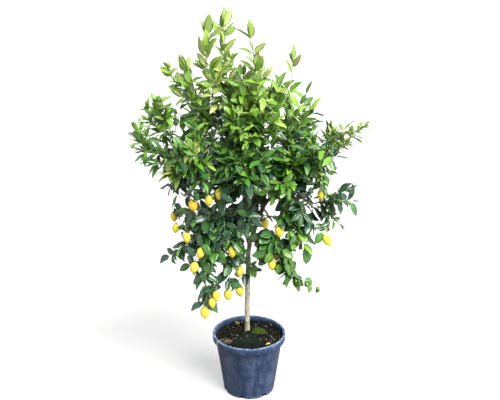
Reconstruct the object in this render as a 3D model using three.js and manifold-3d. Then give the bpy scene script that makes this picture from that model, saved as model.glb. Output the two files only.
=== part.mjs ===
// Potted lemon tree
//
// A grafted lemon tree about 2.1 m high in a round nursery container. The pot stands on the
// XY plane with its middle on the Z axis. X is to the tree's right, Y goes away from its front.
// Lengths are millimetres.
//
// The pieces are the pot, the soil in it, moss and litter on the soil, the woody skeleton
// (trunk and limbs, one piece as it grew), the leafy branches that grow from the limbs, and
// the fruit, each on its own stalk.

import * as THREE from 'three';
import { mergeVertices } from 'three/addons/utils/BufferGeometryUtils.js';
import ManifoldModule from 'manifold-3d';

const manifold = await ManifoldModule();
manifold.setup();

// ---------------------------------------------------------------- driving dimensions

const GAP = 0.4;                    // clearance between pieces that touch

const POT_HEIGHT = 340;
const POT_RIM_RADIUS = 200;
const POT_MOUTH_RADIUS = 188;       // inner edge of the rim
const POT_NECK_RADIUS = 181.5;      // outside of the wall, at the foot of the skirt
const POT_FOOT_RADIUS = 140;
const POT_WALL = 4;
const POT_RIM_DROP = 35;            // height of the skirt that hangs from the rim
const SKIRT_TAPER = 0.8;            // how far the skirt's foot leans in
const SKIRT_THICKNESS = 4;
const POT_SEGMENTS = 40;
const NOTCH_COUNT = 7;              // drainage notches around the foot
const NOTCH_WIDTH = 33;
const NOTCH_HEIGHT = 20;
const NOTCH_DEPTH = 12;
const FIRST_NOTCH_ANGLE = -15.5;    // degrees from the front, positive towards +X

const SOIL_EDGE = 316;              // soil height at the wall
const SOIL_CROWN = 331;             // soil height at the trunk

const TRUNK_X = -10;
const TRUNK_Y = 40;
const ROOT_DEPTH = 85;              // woody root crown below the soil surface

const LEAF_THICKNESS = 2.4;
const LEAF_WIDTH_RATIO = 0.42;
const WIDEST = 0.45;                // share of a leaf's length where it is widest
const LEAF_ROOM = 3;                // how much larger than the leaf the free space around it is
const SHORTEST_LEAF = 0.88;         // against the length that its twig states
const LEAF_STEP = 0.06;             // each leaf is longer than the one before by this share,
const LEAF_CYCLE = 5;               // and after this many it starts over
const MOST_ROLL = 0.4;
const TWIG_RADIUS = 3.2;
const TWIG_TIP_RADIUS = 1.8;
const FRUIT_LENGTH = 66;
const FRUIT_RADIUS = 22.5;
const STALK_LENGTH = 20;

// ---------------------------------------------------------------- materials

const finish = (color, roughness) =>
  new THREE.MeshStandardMaterial({ color, roughness, metalness: 0 });

const MATERIALS = {
  plastic: finish('#46597a', 0.55),
  soil: finish('#2a2724', 0.95),
  moss: finish('#52672b', 0.95),
  darkMoss: finish('#2c3a2c', 0.95),
  bark: finish('#a39a82', 0.85),
  foliage: finish('#3f7330', 0.45),
  peel: finish('#ecdc58', 0.42),
  dryLeaf: finish('#b3a05a', 0.8),
  straw: finish('#d8cfae', 0.8),
};

// ---------------------------------------------------------------- solids

// Turn a closed three.js geometry into a manifold solid.
function toSolid(geometry) {
  const bare = geometry.index ? geometry.toNonIndexed() : geometry.clone();
  bare.deleteAttribute('normal');
  bare.deleteAttribute('uv');
  const merged = mergeVertices(bare, 1e-4);
  const corners = merged.index.array;
  const triangles = [];
  for (let i = 0; i < corners.length; i += 3) {
    const [a, b, c] = [corners[i], corners[i + 1], corners[i + 2]];
    if (a !== b && b !== c && c !== a) triangles.push(a, b, c);
  }
  return new manifold.Manifold(new manifold.Mesh({
    numProp: 3,
    vertProperties: new Float32Array(merged.attributes.position.array),
    triVerts: new Uint32Array(triangles),
  }));
}

// Turn a manifold solid back into a three.js geometry.
function toGeometry(solid) {
  const mesh = solid.getMesh();
  const geometry = new THREE.BufferGeometry();
  geometry.setAttribute('position', new THREE.BufferAttribute(mesh.vertProperties, 3));
  geometry.setIndex(new THREE.BufferAttribute(mesh.triVerts, 1));
  geometry.computeVertexNormals();
  return geometry;
}

const union = (solids) => solids.reduce((whole, next) => whole.add(next));

const tree = new THREE.Group();
const occupied = [];                // every solid placed so far, with the node that owns it

// Add a finished solid to the tree as one named piece.
function addPiece(name, solid, material) {
  const mesh = new THREE.Mesh(toGeometry(solid), material);
  mesh.name = name;
  tree.add(mesh);
}

function occupy(owner, solid) {
  occupied.push({ owner, solid, box: solid.boundingBox() });
}

function boxesMeet(a, b) {
  return [0, 1, 2].every((i) => a.min[i] <= b.max[i] && b.min[i] <= a.max[i]);
}

// True where a solid keeps clear of every piece placed so far that isn't its own.
function isClear(owner, solid) {
  const box = solid.boundingBox();
  return !occupied.some((other) => other.owner !== owner
    && boxesMeet(box, other.box)
    && !solid.intersect(other.solid).isEmpty());
}

// ---------------------------------------------------------------- shapes

const vector = ([x, y, z]) => new THREE.Vector3(x, y, z);

// A round stem that tapers from baseRadius to tipRadius: a lathed column, bent along a
// smooth curve through the given points.
function taperedStem(points, baseRadius, tipRadius, sides, steps) {
  const curve = new THREE.CatmullRomCurve3(points.map(vector), false, 'centripetal');
  const frames = curve.computeFrenetFrames(steps, false);
  const profile = [new THREE.Vector2(0, 0)];
  for (let i = 0; i <= steps; i += 1) {
    profile.push(new THREE.Vector2(THREE.MathUtils.lerp(baseRadius, tipRadius, i / steps), i));
  }
  profile.push(new THREE.Vector2(0, steps));
  const geometry = new THREE.LatheGeometry(profile, sides);
  const position = geometry.attributes.position;
  const centres = curve.getSpacedPoints(steps);
  const point = new THREE.Vector3();
  for (let i = 0; i < position.count; i += 1) {
    const step = Math.round(position.getY(i));
    point.copy(centres[step]);
    point.addScaledVector(frames.normals[step], position.getX(i));
    point.addScaledVector(frames.binormals[step], -position.getZ(i));
    position.setXYZ(i, point.x, point.y, point.z);
  }
  const solid = toSolid(geometry);
  return solid.volume() > 0 ? solid : toSolid(insideOut(geometry));
}

// The same geometry with every triangle turned over.
function insideOut(geometry) {
  const turned = geometry.clone();
  const corners = turned.index.array;
  for (let i = 0; i < corners.length; i += 3) {
    [corners[i], corners[i + 1]] = [corners[i + 1], corners[i]];
  }
  return turned;
}

// A leaf blade: a flat, closed diamond with its base and tip at the ends of its length and
// its widest place WIDEST of the way along.
function leafBlade(base, along, length, width, thickness, roll) {
  const geometry = new THREE.OctahedronGeometry(1);
  const position = geometry.attributes.position;
  const reaches = { '-1': 0, 0: WIDEST, 1: 1 };
  for (let i = 0; i < position.count; i += 1) {
    position.setY(i, reaches[Math.round(position.getY(i))] * length);
  }
  geometry.scale(width / 2, 1, thickness / 2);
  const direction = along.clone().normalize();
  const side = new THREE.Vector3(0, 0, 1).cross(direction);
  if (side.lengthSq() < 0.01) side.set(1, 0, 0);
  side.normalize().applyAxisAngle(direction, roll);
  const normal = new THREE.Vector3().crossVectors(side, direction);
  geometry.applyMatrix4(new THREE.Matrix4().makeBasis(side, direction, normal).setPosition(base));
  return toSolid(geometry);
}

// ---------------------------------------------------------------- pot and soil

// The outside of the wall, which is straight from the foot to the neck.
function potWallRadius(height) {
  const rise = POT_HEIGHT - POT_RIM_DROP;
  return POT_FOOT_RADIUS + (POT_NECK_RADIUS - POT_FOOT_RADIUS) * height / rise;
}

// The inside of the wall, which opens out above the foot of the skirt.
function potInsideRadius(height) {
  const skirtFoot = POT_HEIGHT - POT_RIM_DROP;
  if (height <= skirtFoot) return potWallRadius(height) - POT_WALL;
  const share = (height - skirtFoot) / POT_RIM_DROP;
  return THREE.MathUtils.lerp(POT_NECK_RADIUS - POT_WALL, POT_MOUTH_RADIUS, share);
}

function lathe(outline, segments) {
  const profile = outline.map(([radius, height]) => new THREE.Vector2(radius, height));
  return toSolid(new THREE.LatheGeometry(profile, segments).rotateX(Math.PI / 2));
}

function buildPot() {
  const skirtFoot = POT_HEIGHT - POT_RIM_DROP;
  const underRim = POT_HEIGHT - POT_WALL;
  const shell = lathe([
    [0, 0],
    [POT_FOOT_RADIUS, 0],
    [POT_NECK_RADIUS, skirtFoot],
    [POT_MOUTH_RADIUS + POT_WALL / 2, underRim],
    [POT_RIM_RADIUS - SKIRT_THICKNESS, underRim],
    [POT_RIM_RADIUS - SKIRT_TAPER - SKIRT_THICKNESS, skirtFoot],
    [POT_RIM_RADIUS - SKIRT_TAPER, skirtFoot],
    [POT_RIM_RADIUS, underRim],
    [POT_RIM_RADIUS - POT_WALL / 2, POT_HEIGHT],
    [POT_MOUTH_RADIUS, POT_HEIGHT],
    [POT_NECK_RADIUS - POT_WALL, skirtFoot],
    [potInsideRadius(POT_WALL), POT_WALL],
    [0, POT_WALL],
  ], POT_SEGMENTS);
  const notches = [];
  for (let i = 0; i < NOTCH_COUNT; i += 1) {
    const angle = THREE.MathUtils.degToRad(FIRST_NOTCH_ANGLE + 360 * i / NOTCH_COUNT);
    const box = new THREE.BoxGeometry(NOTCH_WIDTH, 2 * NOTCH_DEPTH, 2 * NOTCH_HEIGHT);
    box.translate(0, -POT_FOOT_RADIUS, 0);
    box.rotateZ(angle);
    notches.push(toSolid(box));
  }
  return shell.subtract(union(notches));
}

function soilHeight(radius) {
  const edge = potInsideRadius(SOIL_EDGE);
  return SOIL_EDGE + (SOIL_CROWN - SOIL_EDGE) * (0.5 + 0.5 * Math.cos(Math.PI * radius / edge));
}

function buildSoil() {
  const foot = POT_WALL + GAP;
  const skirtFoot = POT_HEIGHT - POT_RIM_DROP;
  const edge = potInsideRadius(SOIL_EDGE) - GAP;
  const outline = [[0, foot]];
  for (const height of [foot, skirtFoot, SOIL_EDGE]) {
    outline.push([potInsideRadius(height) - GAP, height]);
  }
  for (const share of [0.8, 0.6, 0.4, 0.2]) {
    outline.push([edge * share, soilHeight(edge * share)]);
  }
  outline.push([0, SOIL_CROWN]);
  return lathe(outline, POT_SEGMENTS);
}

// A cushion of moss: a low dome, cut off where the soil and the trunk begin.
function mossCushion(middle, radii, cutters) {
  const dome = new THREE.SphereGeometry(1, 10, 4).rotateX(Math.PI / 2);
  dome.scale(...radii);
  dome.translate(...middle);
  return cutters.reduce((rest, cutter) => rest.subtract(cutter), toSolid(dome));
}

// ---------------------------------------------------------------- woody skeleton

const SOIL_AT_TRUNK = soilHeight(Math.hypot(TRUNK_X, TRUNK_Y));
const ROOT_CROWN = [TRUNK_X, TRUNK_Y, SOIL_AT_TRUNK - ROOT_DEPTH];

// Each limb: the points it grows through, its radius at the base and at the tip, and the
// number of sides and steps.
const LIMBS = {
  trunk: [[ROOT_CROWN, [-10, 40, 320], [-10, 38, 515], [-5, 30, 695], [0, 20, 840],
    [25, 20, 920], [50, 20, 1000], [75, 30, 1055]], 15, 12.5, 8, 12],
  rootFlare: [[ROOT_CROWN, [-10, 40, 400]], 20, 13, 8, 2],
  leader: [[[75, 30, 1055], [55, 10, 1100], [15, -10, 1150], [-5, -20, 1210],
    [-10, -35, 1320], [-5, -40, 1440]], 9, 6.5, 6, 7],
  leaderLeft: [[[-5, -40, 1440], [-30, -30, 1510], [-50, -20, 1595]], 5.5, 4.5, 5, 2],
  leaderRight: [[[-5, -40, 1440], [35, -40, 1505], [50, -30, 1575]], 5.5, 4.5, 5, 2],
  highLeft: [[[-8, -35, 1330], [-65, -20, 1400], [-140, 0, 1465]], 6, 4.5, 5, 3],
  left: [[[-5, -25, 1240], [-90, 0, 1290], [-190, 10, 1340], [-290, 0, 1400],
    [-380, -10, 1460]], 7.5, 4.5, 5, 4],
  right: [[[75, 30, 1055], [110, 40, 1105], [140, 50, 1175], [165, 40, 1280],
    [175, 20, 1395]], 10, 5.5, 6, 6],
  rightOut: [[[140, 50, 1170], [220, 40, 1245], [310, 20, 1300], [400, 0, 1355]], 7.5, 4.5, 5, 4],
  rightLow: [[[100, 38, 1090], [180, 0, 1120], [260, -40, 1130], [340, -60, 1105]], 7, 4.5, 5, 4],
  rightTwig: [[[38, 20, 960], [75, 5, 995], [120, -25, 1025], [150, -60, 1000],
    [155, -75, 955]], 5.5, 4, 5, 6],
  leftLow: [[[0, 20, 840], [-15, 0, 905], [-45, -30, 990], [-95, -60, 1060],
    [-170, -80, 1095], [-235, -90, 1080]], 9, 4.5, 6, 7],
  frontLeft: [[[-3, -18, 1195], [-65, -80, 1235], [-150, -130, 1285],
    [-230, -160, 1315]], 6, 4, 5, 4],
  backLeft: [[[75, 30, 1050], [30, 120, 1130], [-60, 210, 1230], [-150, 260, 1330]], 8, 4.5, 5, 4],
  backRight: [[[125, 45, 1140], [160, 130, 1200], [215, 210, 1290], [260, 240, 1380]],
    7.5, 4.5, 5, 4],
  backLow: [[[35, 20, 950], [50, 110, 1020], [40, 200, 1050], [0, 280, 1010]], 6.5, 4, 5, 4],
  backTop: [[[-8, -30, 1290], [30, 60, 1400], [30, 120, 1500]], 5.5, 4.5, 5, 3],
};

function limb(name, extraRadius = 0) {
  const [points, baseRadius, tipRadius, sides, steps] = LIMBS[name];
  return taperedStem(points, baseRadius + extraRadius, tipRadius + extraRadius, sides, steps);
}

// ---------------------------------------------------------------- leafy branches

// Each branch: the twigs that leave one place on a limb. A twig has the points it grows
// through, the number of leaf pairs along it and the length of its leaves.
const BRANCHES = {
  top_left_branch: [
    [[[-50, -20, 1595], [-95, 5, 1685], [-120, 40, 1825], [-125, 65, 1935], [-122, 75, 2000]],
      5, 100],
    [[[-50, -20, 1595], [-150, -50, 1700], [-205, -80, 1830], [-195, -90, 1955]], 4, 105],
  ],
  top_middle_branch: [
    [[[50, -30, 1575], [42, -55, 1685], [28, -90, 1810], [15, -110, 1945]], 4, 95],
    [[[50, -30, 1575], [105, 20, 1615], [140, 45, 1680]], 2, 100],
  ],
  top_right_branch: [
    [[[175, 20, 1395], [190, 40, 1495], [205, 75, 1625], [222, 105, 1810]], 4, 90],
    [[[175, 20, 1395], [230, -20, 1465], [262, -50, 1540]], 2, 85],
  ],
  high_left_branch: [
    [[[-140, 0, 1465], [-215, -30, 1560], [-275, -65, 1665], [-298, -80, 1785]], 4, 95],
    [[[-140, 0, 1465], [-230, 50, 1550], [-330, 110, 1655], [-400, 130, 1725]], 4, 80],
  ],
  left_branch: [
    [[[-380, -10, 1460], [-425, -50, 1530], [-435, -80, 1605]], 3, 90],
    [[[-380, -10, 1460], [-460, 30, 1470], [-500, 40, 1545]], 3, 75],
  ],
  left_edge_branch: [
    [[[-290, 0, 1400], [-390, -70, 1375], [-500, -115, 1400], [-545, -120, 1495]], 5, 70],
    [[[-290, 0, 1400], [-370, -90, 1345], [-450, -150, 1345]], 3, 90],
  ],
  left_inner_branch: [
    [[[-190, 10, 1340], [-290, 60, 1270], [-380, 75, 1190]], 4, 105],
    [[[-190, 10, 1340], [-230, -60, 1400], [-260, -85, 1470]], 2, 95],
  ],
  front_left_branch: [
    [[[-230, -160, 1315], [-300, -200, 1325], [-370, -225, 1310]], 3, 95],
    [[[-230, -160, 1315], [-240, -200, 1375], [-260, -225, 1425]], 2, 90],
  ],
  upper_front_branch: [
    [[[-5, -40, 1440], [-40, -110, 1485], [-70, -140, 1560]], 3, 100],
    [[[-5, -40, 1440], [50, -110, 1475], [100, -140, 1540]], 3, 100],
  ],
  front_branch: [
    [[[-9, -36, 1335], [-20, -130, 1340], [-5, -240, 1280]], 4, 110],
    [[[-9, -36, 1335], [-70, -105, 1375], [-115, -150, 1345]], 3, 105],
  ],
  front_right_branch: [
    [[[144, 50, 1190], [140, -40, 1235], [160, -170, 1240]], 4, 110],
    [[[144, 50, 1190], [195, -30, 1265], [235, -85, 1320]], 3, 105],
  ],
  right_inner_branch: [
    [[[310, 20, 1300], [320, -35, 1360], [322, -60, 1415]], 2, 85],
    [[[310, 20, 1300], [345, -40, 1290], [365, -70, 1235]], 3, 90],
  ],
  right_branch: [
    [[[400, 0, 1355], [455, -30, 1405], [545, -70, 1490]], 3, 80],
    [[[400, 0, 1355], [425, 50, 1390], [435, 90, 1420]], 2, 85],
  ],
  low_right_branch: [
    [[[340, -60, 1105], [410, -60, 1125], [490, -45, 1110]], 3, 75],
    [[[340, -60, 1105], [405, -80, 1050], [465, -90, 1005]], 3, 70],
  ],
  right_middle_branch: [
    [[[180, 0, 1120], [240, -70, 1020], [285, -100, 890]], 4, 100],
    [[[180, 0, 1120], [200, -60, 1050], [220, -95, 960]], 3, 95],
  ],
  hanging_right_branch: [
    [[[155, -75, 955], [130, -95, 900], [105, -102, 850]], 3, 105],
    [[[155, -75, 955], [170, -95, 850], [195, -105, 750], [225, -105, 712]], 4, 95],
    [[[155, -75, 955], [175, -88, 855], [208, -92, 748], [290, -105, 692], [352, -105, 657]],
      5, 42],
    [[[155, -75, 955], [120, -90, 955], [88, -92, 945]], 2, 95],
  ],
  low_left_branch: [
    [[[-95, -60, 1060], [-150, -115, 970], [-190, -135, 840]], 4, 110],
    [[[-95, -60, 1060], [-165, -110, 1045], [-250, -140, 930]], 3, 100],
  ],
  outer_left_branch: [
    [[[-235, -90, 1080], [-300, -90, 1045], [-335, -85, 965]], 3, 75],
    [[[-235, -90, 1080], [-285, -110, 945], [-350, -105, 870], [-412, -100, 835]], 4, 75],
  ],
  hanging_left_branch: [
    [[[-235, -90, 1080], [-245, -130, 880], [-232, -120, 690], [-215, -105, 575]], 5, 95],
  ],
  inner_left_branch: [
    [[[-45, -30, 990], [-85, -95, 840], [-112, -110, 650]], 5, 90],
  ],
  back_left_branch: [
    [[[-150, 260, 1330], [-225, 300, 1390], [-290, 300, 1470]], 3, 110],
    [[[-150, 260, 1330], [-220, 350, 1250], [-250, 380, 1130]], 3, 110],
  ],
  back_right_branch: [
    [[[260, 240, 1380], [245, 265, 1430], [235, 275, 1480]], 2, 90],
    [[[260, 240, 1380], [310, 285, 1330], [345, 290, 1230]], 3, 100],
  ],
  back_inner_branch: [
    [[[30, 120, 1130], [0, 210, 1180], [0, 340, 1320]], 4, 115],
  ],
  back_low_branch: [
    [[[0, 280, 1010], [-40, 330, 960], [-80, 350, 890]], 2, 110],
    [[[0, 280, 1010], [-50, 340, 1050], [-120, 370, 1070]], 2, 110],
  ],
  back_top_branch: [
    [[[30, 120, 1500], [20, 150, 1590], [-10, 160, 1680]], 3, 100],
    [[[30, 120, 1500], [100, 155, 1550], [160, 170, 1630]], 2, 100],
  ],
  trunk_sprout: [
    [[[-4, 29, 715], [0, -5, 738], [12, -35, 745]], 2, 65],
  ],
};

const UP = new THREE.Vector3(0, 0, 1);
const GOLDEN_ANGLE = 137.5 * Math.PI / 180;
const LEAF_LEAN = 0.7;              // how much a leaf leans along its twig
const MOST_REACH = 30;              // furthest that a branch's foot stands off the limb's middle
const LEAF_TRIES = 6;               // turns tried before a leaf that has no room is left out
const LEAF_TURN = 0.35;

// The first place on a branch's way out from which all its twigs are clear of the limb.
function branchFoot(name, twigs) {
  const foot = vector(twigs[0][0][0]);
  const outward = new THREE.Vector3();
  for (const [points] of twigs) {
    outward.add(vector(points[1]).sub(foot).normalize());
  }
  outward.normalize();
  const sheath = ([points, pairs]) => taperedStem([foot.toArray(), ...points.slice(1)],
    TWIG_RADIUS + GAP, TWIG_TIP_RADIUS + GAP, 6, pairs + 1);
  for (let reach = 0; reach < MOST_REACH; reach += 1) {
    if (twigs.every((twig) => isClear(name, sheath(twig)))) return foot;
    foot.add(outward);
  }
  throw new Error(`${name} finds no room to leave its limb`);
}

// A leaf in the first of a few turns that keeps clear of the rest of the tree, or nothing
// where there is no room for it.
function clearLeaf(owner, base, along, length, roll) {
  const width = LEAF_WIDTH_RATIO * length;
  for (let turn = 0; turn < LEAF_TRIES; turn += 1) {
    const direction = along.clone().applyAxisAngle(UP, turn * LEAF_TURN);
    const room = leafBlade(base, direction, length + LEAF_ROOM, width + LEAF_ROOM,
      LEAF_THICKNESS + LEAF_ROOM, roll);
    if (isClear(owner, room)) {
      return leafBlade(base, direction, length, width, LEAF_THICKNESS, roll);
    }
  }
  return null;
}

// One twig, and where its leaves grow: an opposite pair at each joint, turned a golden angle
// from the pair below, and one leaf at the end.
function twigSkeleton(foot, [points, pairs, leaf]) {
  const route = [foot.toArray(), ...points.slice(1)];
  const steps = pairs + 1;
  const curve = new THREE.CatmullRomCurve3(route.map(vector), false, 'centripetal');
  const frames = curve.computeFrenetFrames(steps, false);
  const sites = [];
  for (let i = 1; i <= pairs; i += 1) {
    const tangent = frames.tangents[i];
    for (const half of [0, Math.PI]) {
      const out = frames.normals[i].clone().applyAxisAngle(tangent, i * GOLDEN_ANGLE + half);
      sites.push({
        base: curve.getPointAt(i / steps),
        along: out.addScaledVector(tangent, LEAF_LEAN),
      });
    }
  }
  const end = curve.getPointAt(1).addScaledVector(frames.tangents[steps], -LEAF_THICKNESS);
  sites.push({ base: end, along: frames.tangents[steps] });
  return { wood: taperedStem(route, TWIG_RADIUS, TWIG_TIP_RADIUS, 4, steps), sites, leaf };
}

function buildBranches() {
  const skeletons = {};
  for (const [name, twigs] of Object.entries(BRANCHES)) {
    const foot = branchFoot(name, twigs);
    skeletons[name] = twigs.map((twig) => twigSkeleton(foot, twig));
    skeletons[name].forEach(({ wood }) => occupy(name, wood));
  }
  for (const [name, twigs] of Object.entries(skeletons)) {
    const blades = [];
    for (const { sites, leaf } of twigs) {
      sites.forEach(({ base, along }, i) => {
        const length = leaf * (SHORTEST_LEAF + LEAF_STEP * (i % LEAF_CYCLE));
        const blade = clearLeaf(name, base, along, length, MOST_ROLL * Math.sin(i));
        if (blade) blades.push(blade);
      });
    }
    blades.forEach((blade) => occupy(name, blade));
    addPiece(name, union([...twigs.map(({ wood }) => wood), ...blades]), MATERIALS.foliage);
  }
}

// ---------------------------------------------------------------- fruit

// Each lemon: the middle of the fruit, its size against the typical one, and how far it
// leans towards +X and towards +Y, in degrees.
const LEMONS = [
  [[-150, -120, 1175], 1.05, 4, 0],
  [[-200, -150, 1150], 0.95, -6, 3],
  [[-280, -150, 1125], 1.05, -12, 0],
  [[-385, -60, 1035], 0.95, 3, 4],
  [[-375, -100, 985], 0.9, 6, -4],
  [[-320, -60, 965], 0.85, -10, 5],
  [[-315, -160, 955], 0.95, -6, 0],
  [[-245, -190, 885], 1.0, 10, 0],
  [[-85, -150, 875], 1.05, 0, 0],
  [[-280, -180, 800], 1.05, 12, 2],
  [[-50, -60, 725], 1.05, 8, 3],
  [[-50, 0, 585], 1.1, -8, 0],
  [[-110, -130, 625], 1.05, 6, -4],
  [[-170, -160, 630], 1.0, 0, 0],
  [[-190, -200, 610], 0.85, -14, 6],
  [[-230, -170, 540], 1.1, -4, 0],
  [[365, -110, 1170], 0.98, 4, 0],
  [[155, -120, 975], 1.1, -5, 3],
  [[400, -130, 930], 1.1, -28, 6],
  [[145, -60, 815], 0.95, 4, 0],
  [[120, -110, 785], 1.0, -6, 4],
  [[270, -20, 1070], 0.85, 20, 0],
  [[-150, 250, 1080], 1.0, 5, 4],
  [[90, 300, 860], 1.05, -6, -5],
  [[260, 200, 1120], 1.0, 8, 0],
  [[-250, 150, 960], 0.95, -4, 6],
];

// A lemon on its stalk, hanging from the origin: narrow calyx, round body and nipple.
function lemonSolid(size) {
  const r = FRUIT_RADIUS * size;
  const h = FRUIT_LENGTH * size;
  const top = -STALK_LENGTH;
  return lathe([
    [0, top - h],
    [0.3 * r, top - 0.93 * h],
    [0.96 * r, top - 0.62 * h],
    [0.98 * r, top - 0.38 * h],
    [0.62 * r, top - 0.12 * h],
    [2.4, top],
    [1.6, 0],
    [0, 0],
  ], 7);
}

function buildLemons() {
  LEMONS.forEach(([middle, size, leanX, leanY], i) => {
    const name = `lemon_${String(i + 1).padStart(2, '0')}`;
    const lean = new THREE.Euler(
      THREE.MathUtils.degToRad(-leanY), THREE.MathUtils.degToRad(leanX), 0);
    const hang = new THREE.Vector3(0, 0, STALK_LENGTH + FRUIT_LENGTH * size / 2).applyEuler(lean);
    const place = vector(middle).add(hang);
    const turned = new THREE.Matrix4().makeRotationFromEuler(lean).setPosition(place);
    const solid = toSolid(toGeometry(lemonSolid(size)).applyMatrix4(turned));
    occupy(name, solid);
    addPiece(name, solid, MATERIALS.peel);
  });
}

// ---------------------------------------------------------------- litter on the soil

// Each fallen leaf: where it lies on the soil, the way it points in degrees, and its length.
const FALLEN_LEAVES = {
  fallen_leaf_front: [[88, -118], 25, 34],
  fallen_leaf_back: [[-52, 128], 160, 32],
};
const LITTER_HEIGHT = 5;            // how high the base of a fallen leaf lies above the soil
const LITTER_SLOPE = 0.12;
const LITTER_ROLL = 0.1;
const LITTER_WIDTH_RATIO = 0.55;

function fallenLeaf([[x, y], heading, length]) {
  const angle = THREE.MathUtils.degToRad(heading);
  const base = new THREE.Vector3(x, y, soilHeight(Math.hypot(x, y)) + LITTER_HEIGHT);
  const along = new THREE.Vector3(Math.cos(angle), Math.sin(angle), LITTER_SLOPE);
  return leafBlade(base, along, length, LITTER_WIDTH_RATIO * length, LEAF_THICKNESS, LITTER_ROLL);
}

// Each moss cushion: its material, its middle, and its radii along X, Y and Z.
const MOSS = {
  moss_cushion: [MATERIALS.moss, [52, 32, 327], [38, 38, 10]],
  dark_moss: [MATERIALS.darkMoss, [-6, -76, 322], [68, 70, 14]],
};

// A dry blade of straw: from the soil over the rim and down outside it.
const STRAW = [[-118, -56, 328], [-132, -82, 338], [-150, -104, 348], [-169, -120, 343],
  [-172, -124, 325], [-166, -124, 285], [-163, -121, 256]];
const STRAW_RADIUS = 1.4;

// ---------------------------------------------------------------- assembly

const soil = buildSoil();
const trunk = union(Object.keys(LIMBS).map((name) => limb(name)));
const trunkClearance = union([limb('trunk', GAP), limb('rootFlare', GAP)]);
const soilClearance = buildSoil().translate([0, 0, GAP]);

addPiece('pot', buildPot(), MATERIALS.plastic);
addPiece('potting_soil', soil.subtract(trunkClearance), MATERIALS.soil);
addPiece('trunk', trunk, MATERIALS.bark);
for (const [name, [material, middle, radii]] of Object.entries(MOSS)) {
  addPiece(name, mossCushion(middle, radii, [soilClearance, trunkClearance]), material);
}
for (const [name, leaf] of Object.entries(FALLEN_LEAVES)) {
  addPiece(name, fallenLeaf(leaf), MATERIALS.dryLeaf);
}
addPiece('dry_straw', taperedStem(STRAW, STRAW_RADIUS, STRAW_RADIUS, 4, 10), MATERIALS.straw);

occupy('trunk', trunk);
buildLemons();
buildBranches();

export default tree;
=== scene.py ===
"""Potted lemon tree.

A grafted lemon tree in a round nursery container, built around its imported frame. Lengths are
metres, Z is up, and the front of the tree looks along -Y. Every surface is a function of two
parameters on a grid, or a profile carried along a path, worked out as whole arrays.
"""

import itertools

import bpy
import numpy as np
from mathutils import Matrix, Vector
from mathutils.bvhtree import BVHTree


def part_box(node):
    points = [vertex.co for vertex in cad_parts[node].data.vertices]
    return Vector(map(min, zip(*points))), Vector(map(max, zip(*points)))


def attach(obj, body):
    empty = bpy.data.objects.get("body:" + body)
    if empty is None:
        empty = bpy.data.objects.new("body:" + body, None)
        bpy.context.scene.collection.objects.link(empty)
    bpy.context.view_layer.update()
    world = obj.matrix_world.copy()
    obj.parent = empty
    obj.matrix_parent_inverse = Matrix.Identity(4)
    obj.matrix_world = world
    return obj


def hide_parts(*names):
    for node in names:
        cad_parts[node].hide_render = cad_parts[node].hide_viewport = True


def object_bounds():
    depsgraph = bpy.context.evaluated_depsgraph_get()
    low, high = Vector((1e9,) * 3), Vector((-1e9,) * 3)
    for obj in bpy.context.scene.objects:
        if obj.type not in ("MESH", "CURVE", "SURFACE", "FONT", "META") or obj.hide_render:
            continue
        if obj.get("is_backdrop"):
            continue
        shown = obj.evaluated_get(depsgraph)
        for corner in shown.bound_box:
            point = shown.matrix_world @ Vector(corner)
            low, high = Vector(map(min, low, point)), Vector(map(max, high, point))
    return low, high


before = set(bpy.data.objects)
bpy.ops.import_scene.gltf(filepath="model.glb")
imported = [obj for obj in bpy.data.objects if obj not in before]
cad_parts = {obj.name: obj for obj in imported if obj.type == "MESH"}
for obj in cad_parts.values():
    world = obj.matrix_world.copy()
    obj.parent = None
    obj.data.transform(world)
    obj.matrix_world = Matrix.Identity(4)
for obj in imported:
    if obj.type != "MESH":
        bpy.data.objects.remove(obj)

bl_info = {
    "name": "Potted lemon tree",
    "version": (1, 0, 0),
    "blender": (4, 5, 0),
    "location": "3D View > Sidebar > Lemon tree",
    "description": "Builds a potted lemon tree around its packed frame",
    "category": "Add Mesh",
}

UP = np.array([0.0, 0.0, 1.0])
GOLDEN_ANGLE = np.radians(137.5)
BLADE_WIDEST = 0.45          # share of a frame blade's length where it is widest
LIGHT = np.array([0.15, -0.55, 0.0])      # where the top of the crown turns its leaves
LEVEL = np.array([1.0, 1.0, 0.0])         # keeps the level part of a direction
FRONT = np.array([0.0, -0.948, 0.318])    # from a lemon to where it is looked at from
BACK = np.array([0.0, 0.948, 0.318])      # the same for a lemon in the back of the crown
STEM_POINTS = 22             # points along a twig, a side shoot or a fruit's stalk
STEM_SIDES = 6
BARK_STRETCH = (1.0, 1.0, 0.16)      # the bark's streaks are long along Z
LEAF_MIDDLE = 0.55           # share of a leaf's length where it is taken to hang
PLAIN_TIP = 0.16             # how much younger a shoot's last leaf is than its first
SEEDS = {"soil": 11, "moss": 12, "litter": 13, "trunk": 14, "branches": 15, "fruit": 16}


# ------------------------------------------------------------------ small vector tools


def unit(vectors):
    """Each vector divided by its length."""
    length = np.linalg.norm(vectors, axis=-1, keepdims=True)
    return vectors / np.maximum(length, 1e-9)


def square_to(direction, towards):
    """The unit vectors nearest to towards that are square to direction."""
    along = (towards * direction).sum(-1, keepdims=True)
    return unit(towards - along * direction)


def ease(value, low, high):
    """0 below low, 1 above high, and three times the square less twice the cube between."""
    share = np.clip((value - low) / (high - low), 0.0, 1.0)
    return share * share * (3.0 - 2.0 * share)


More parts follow.
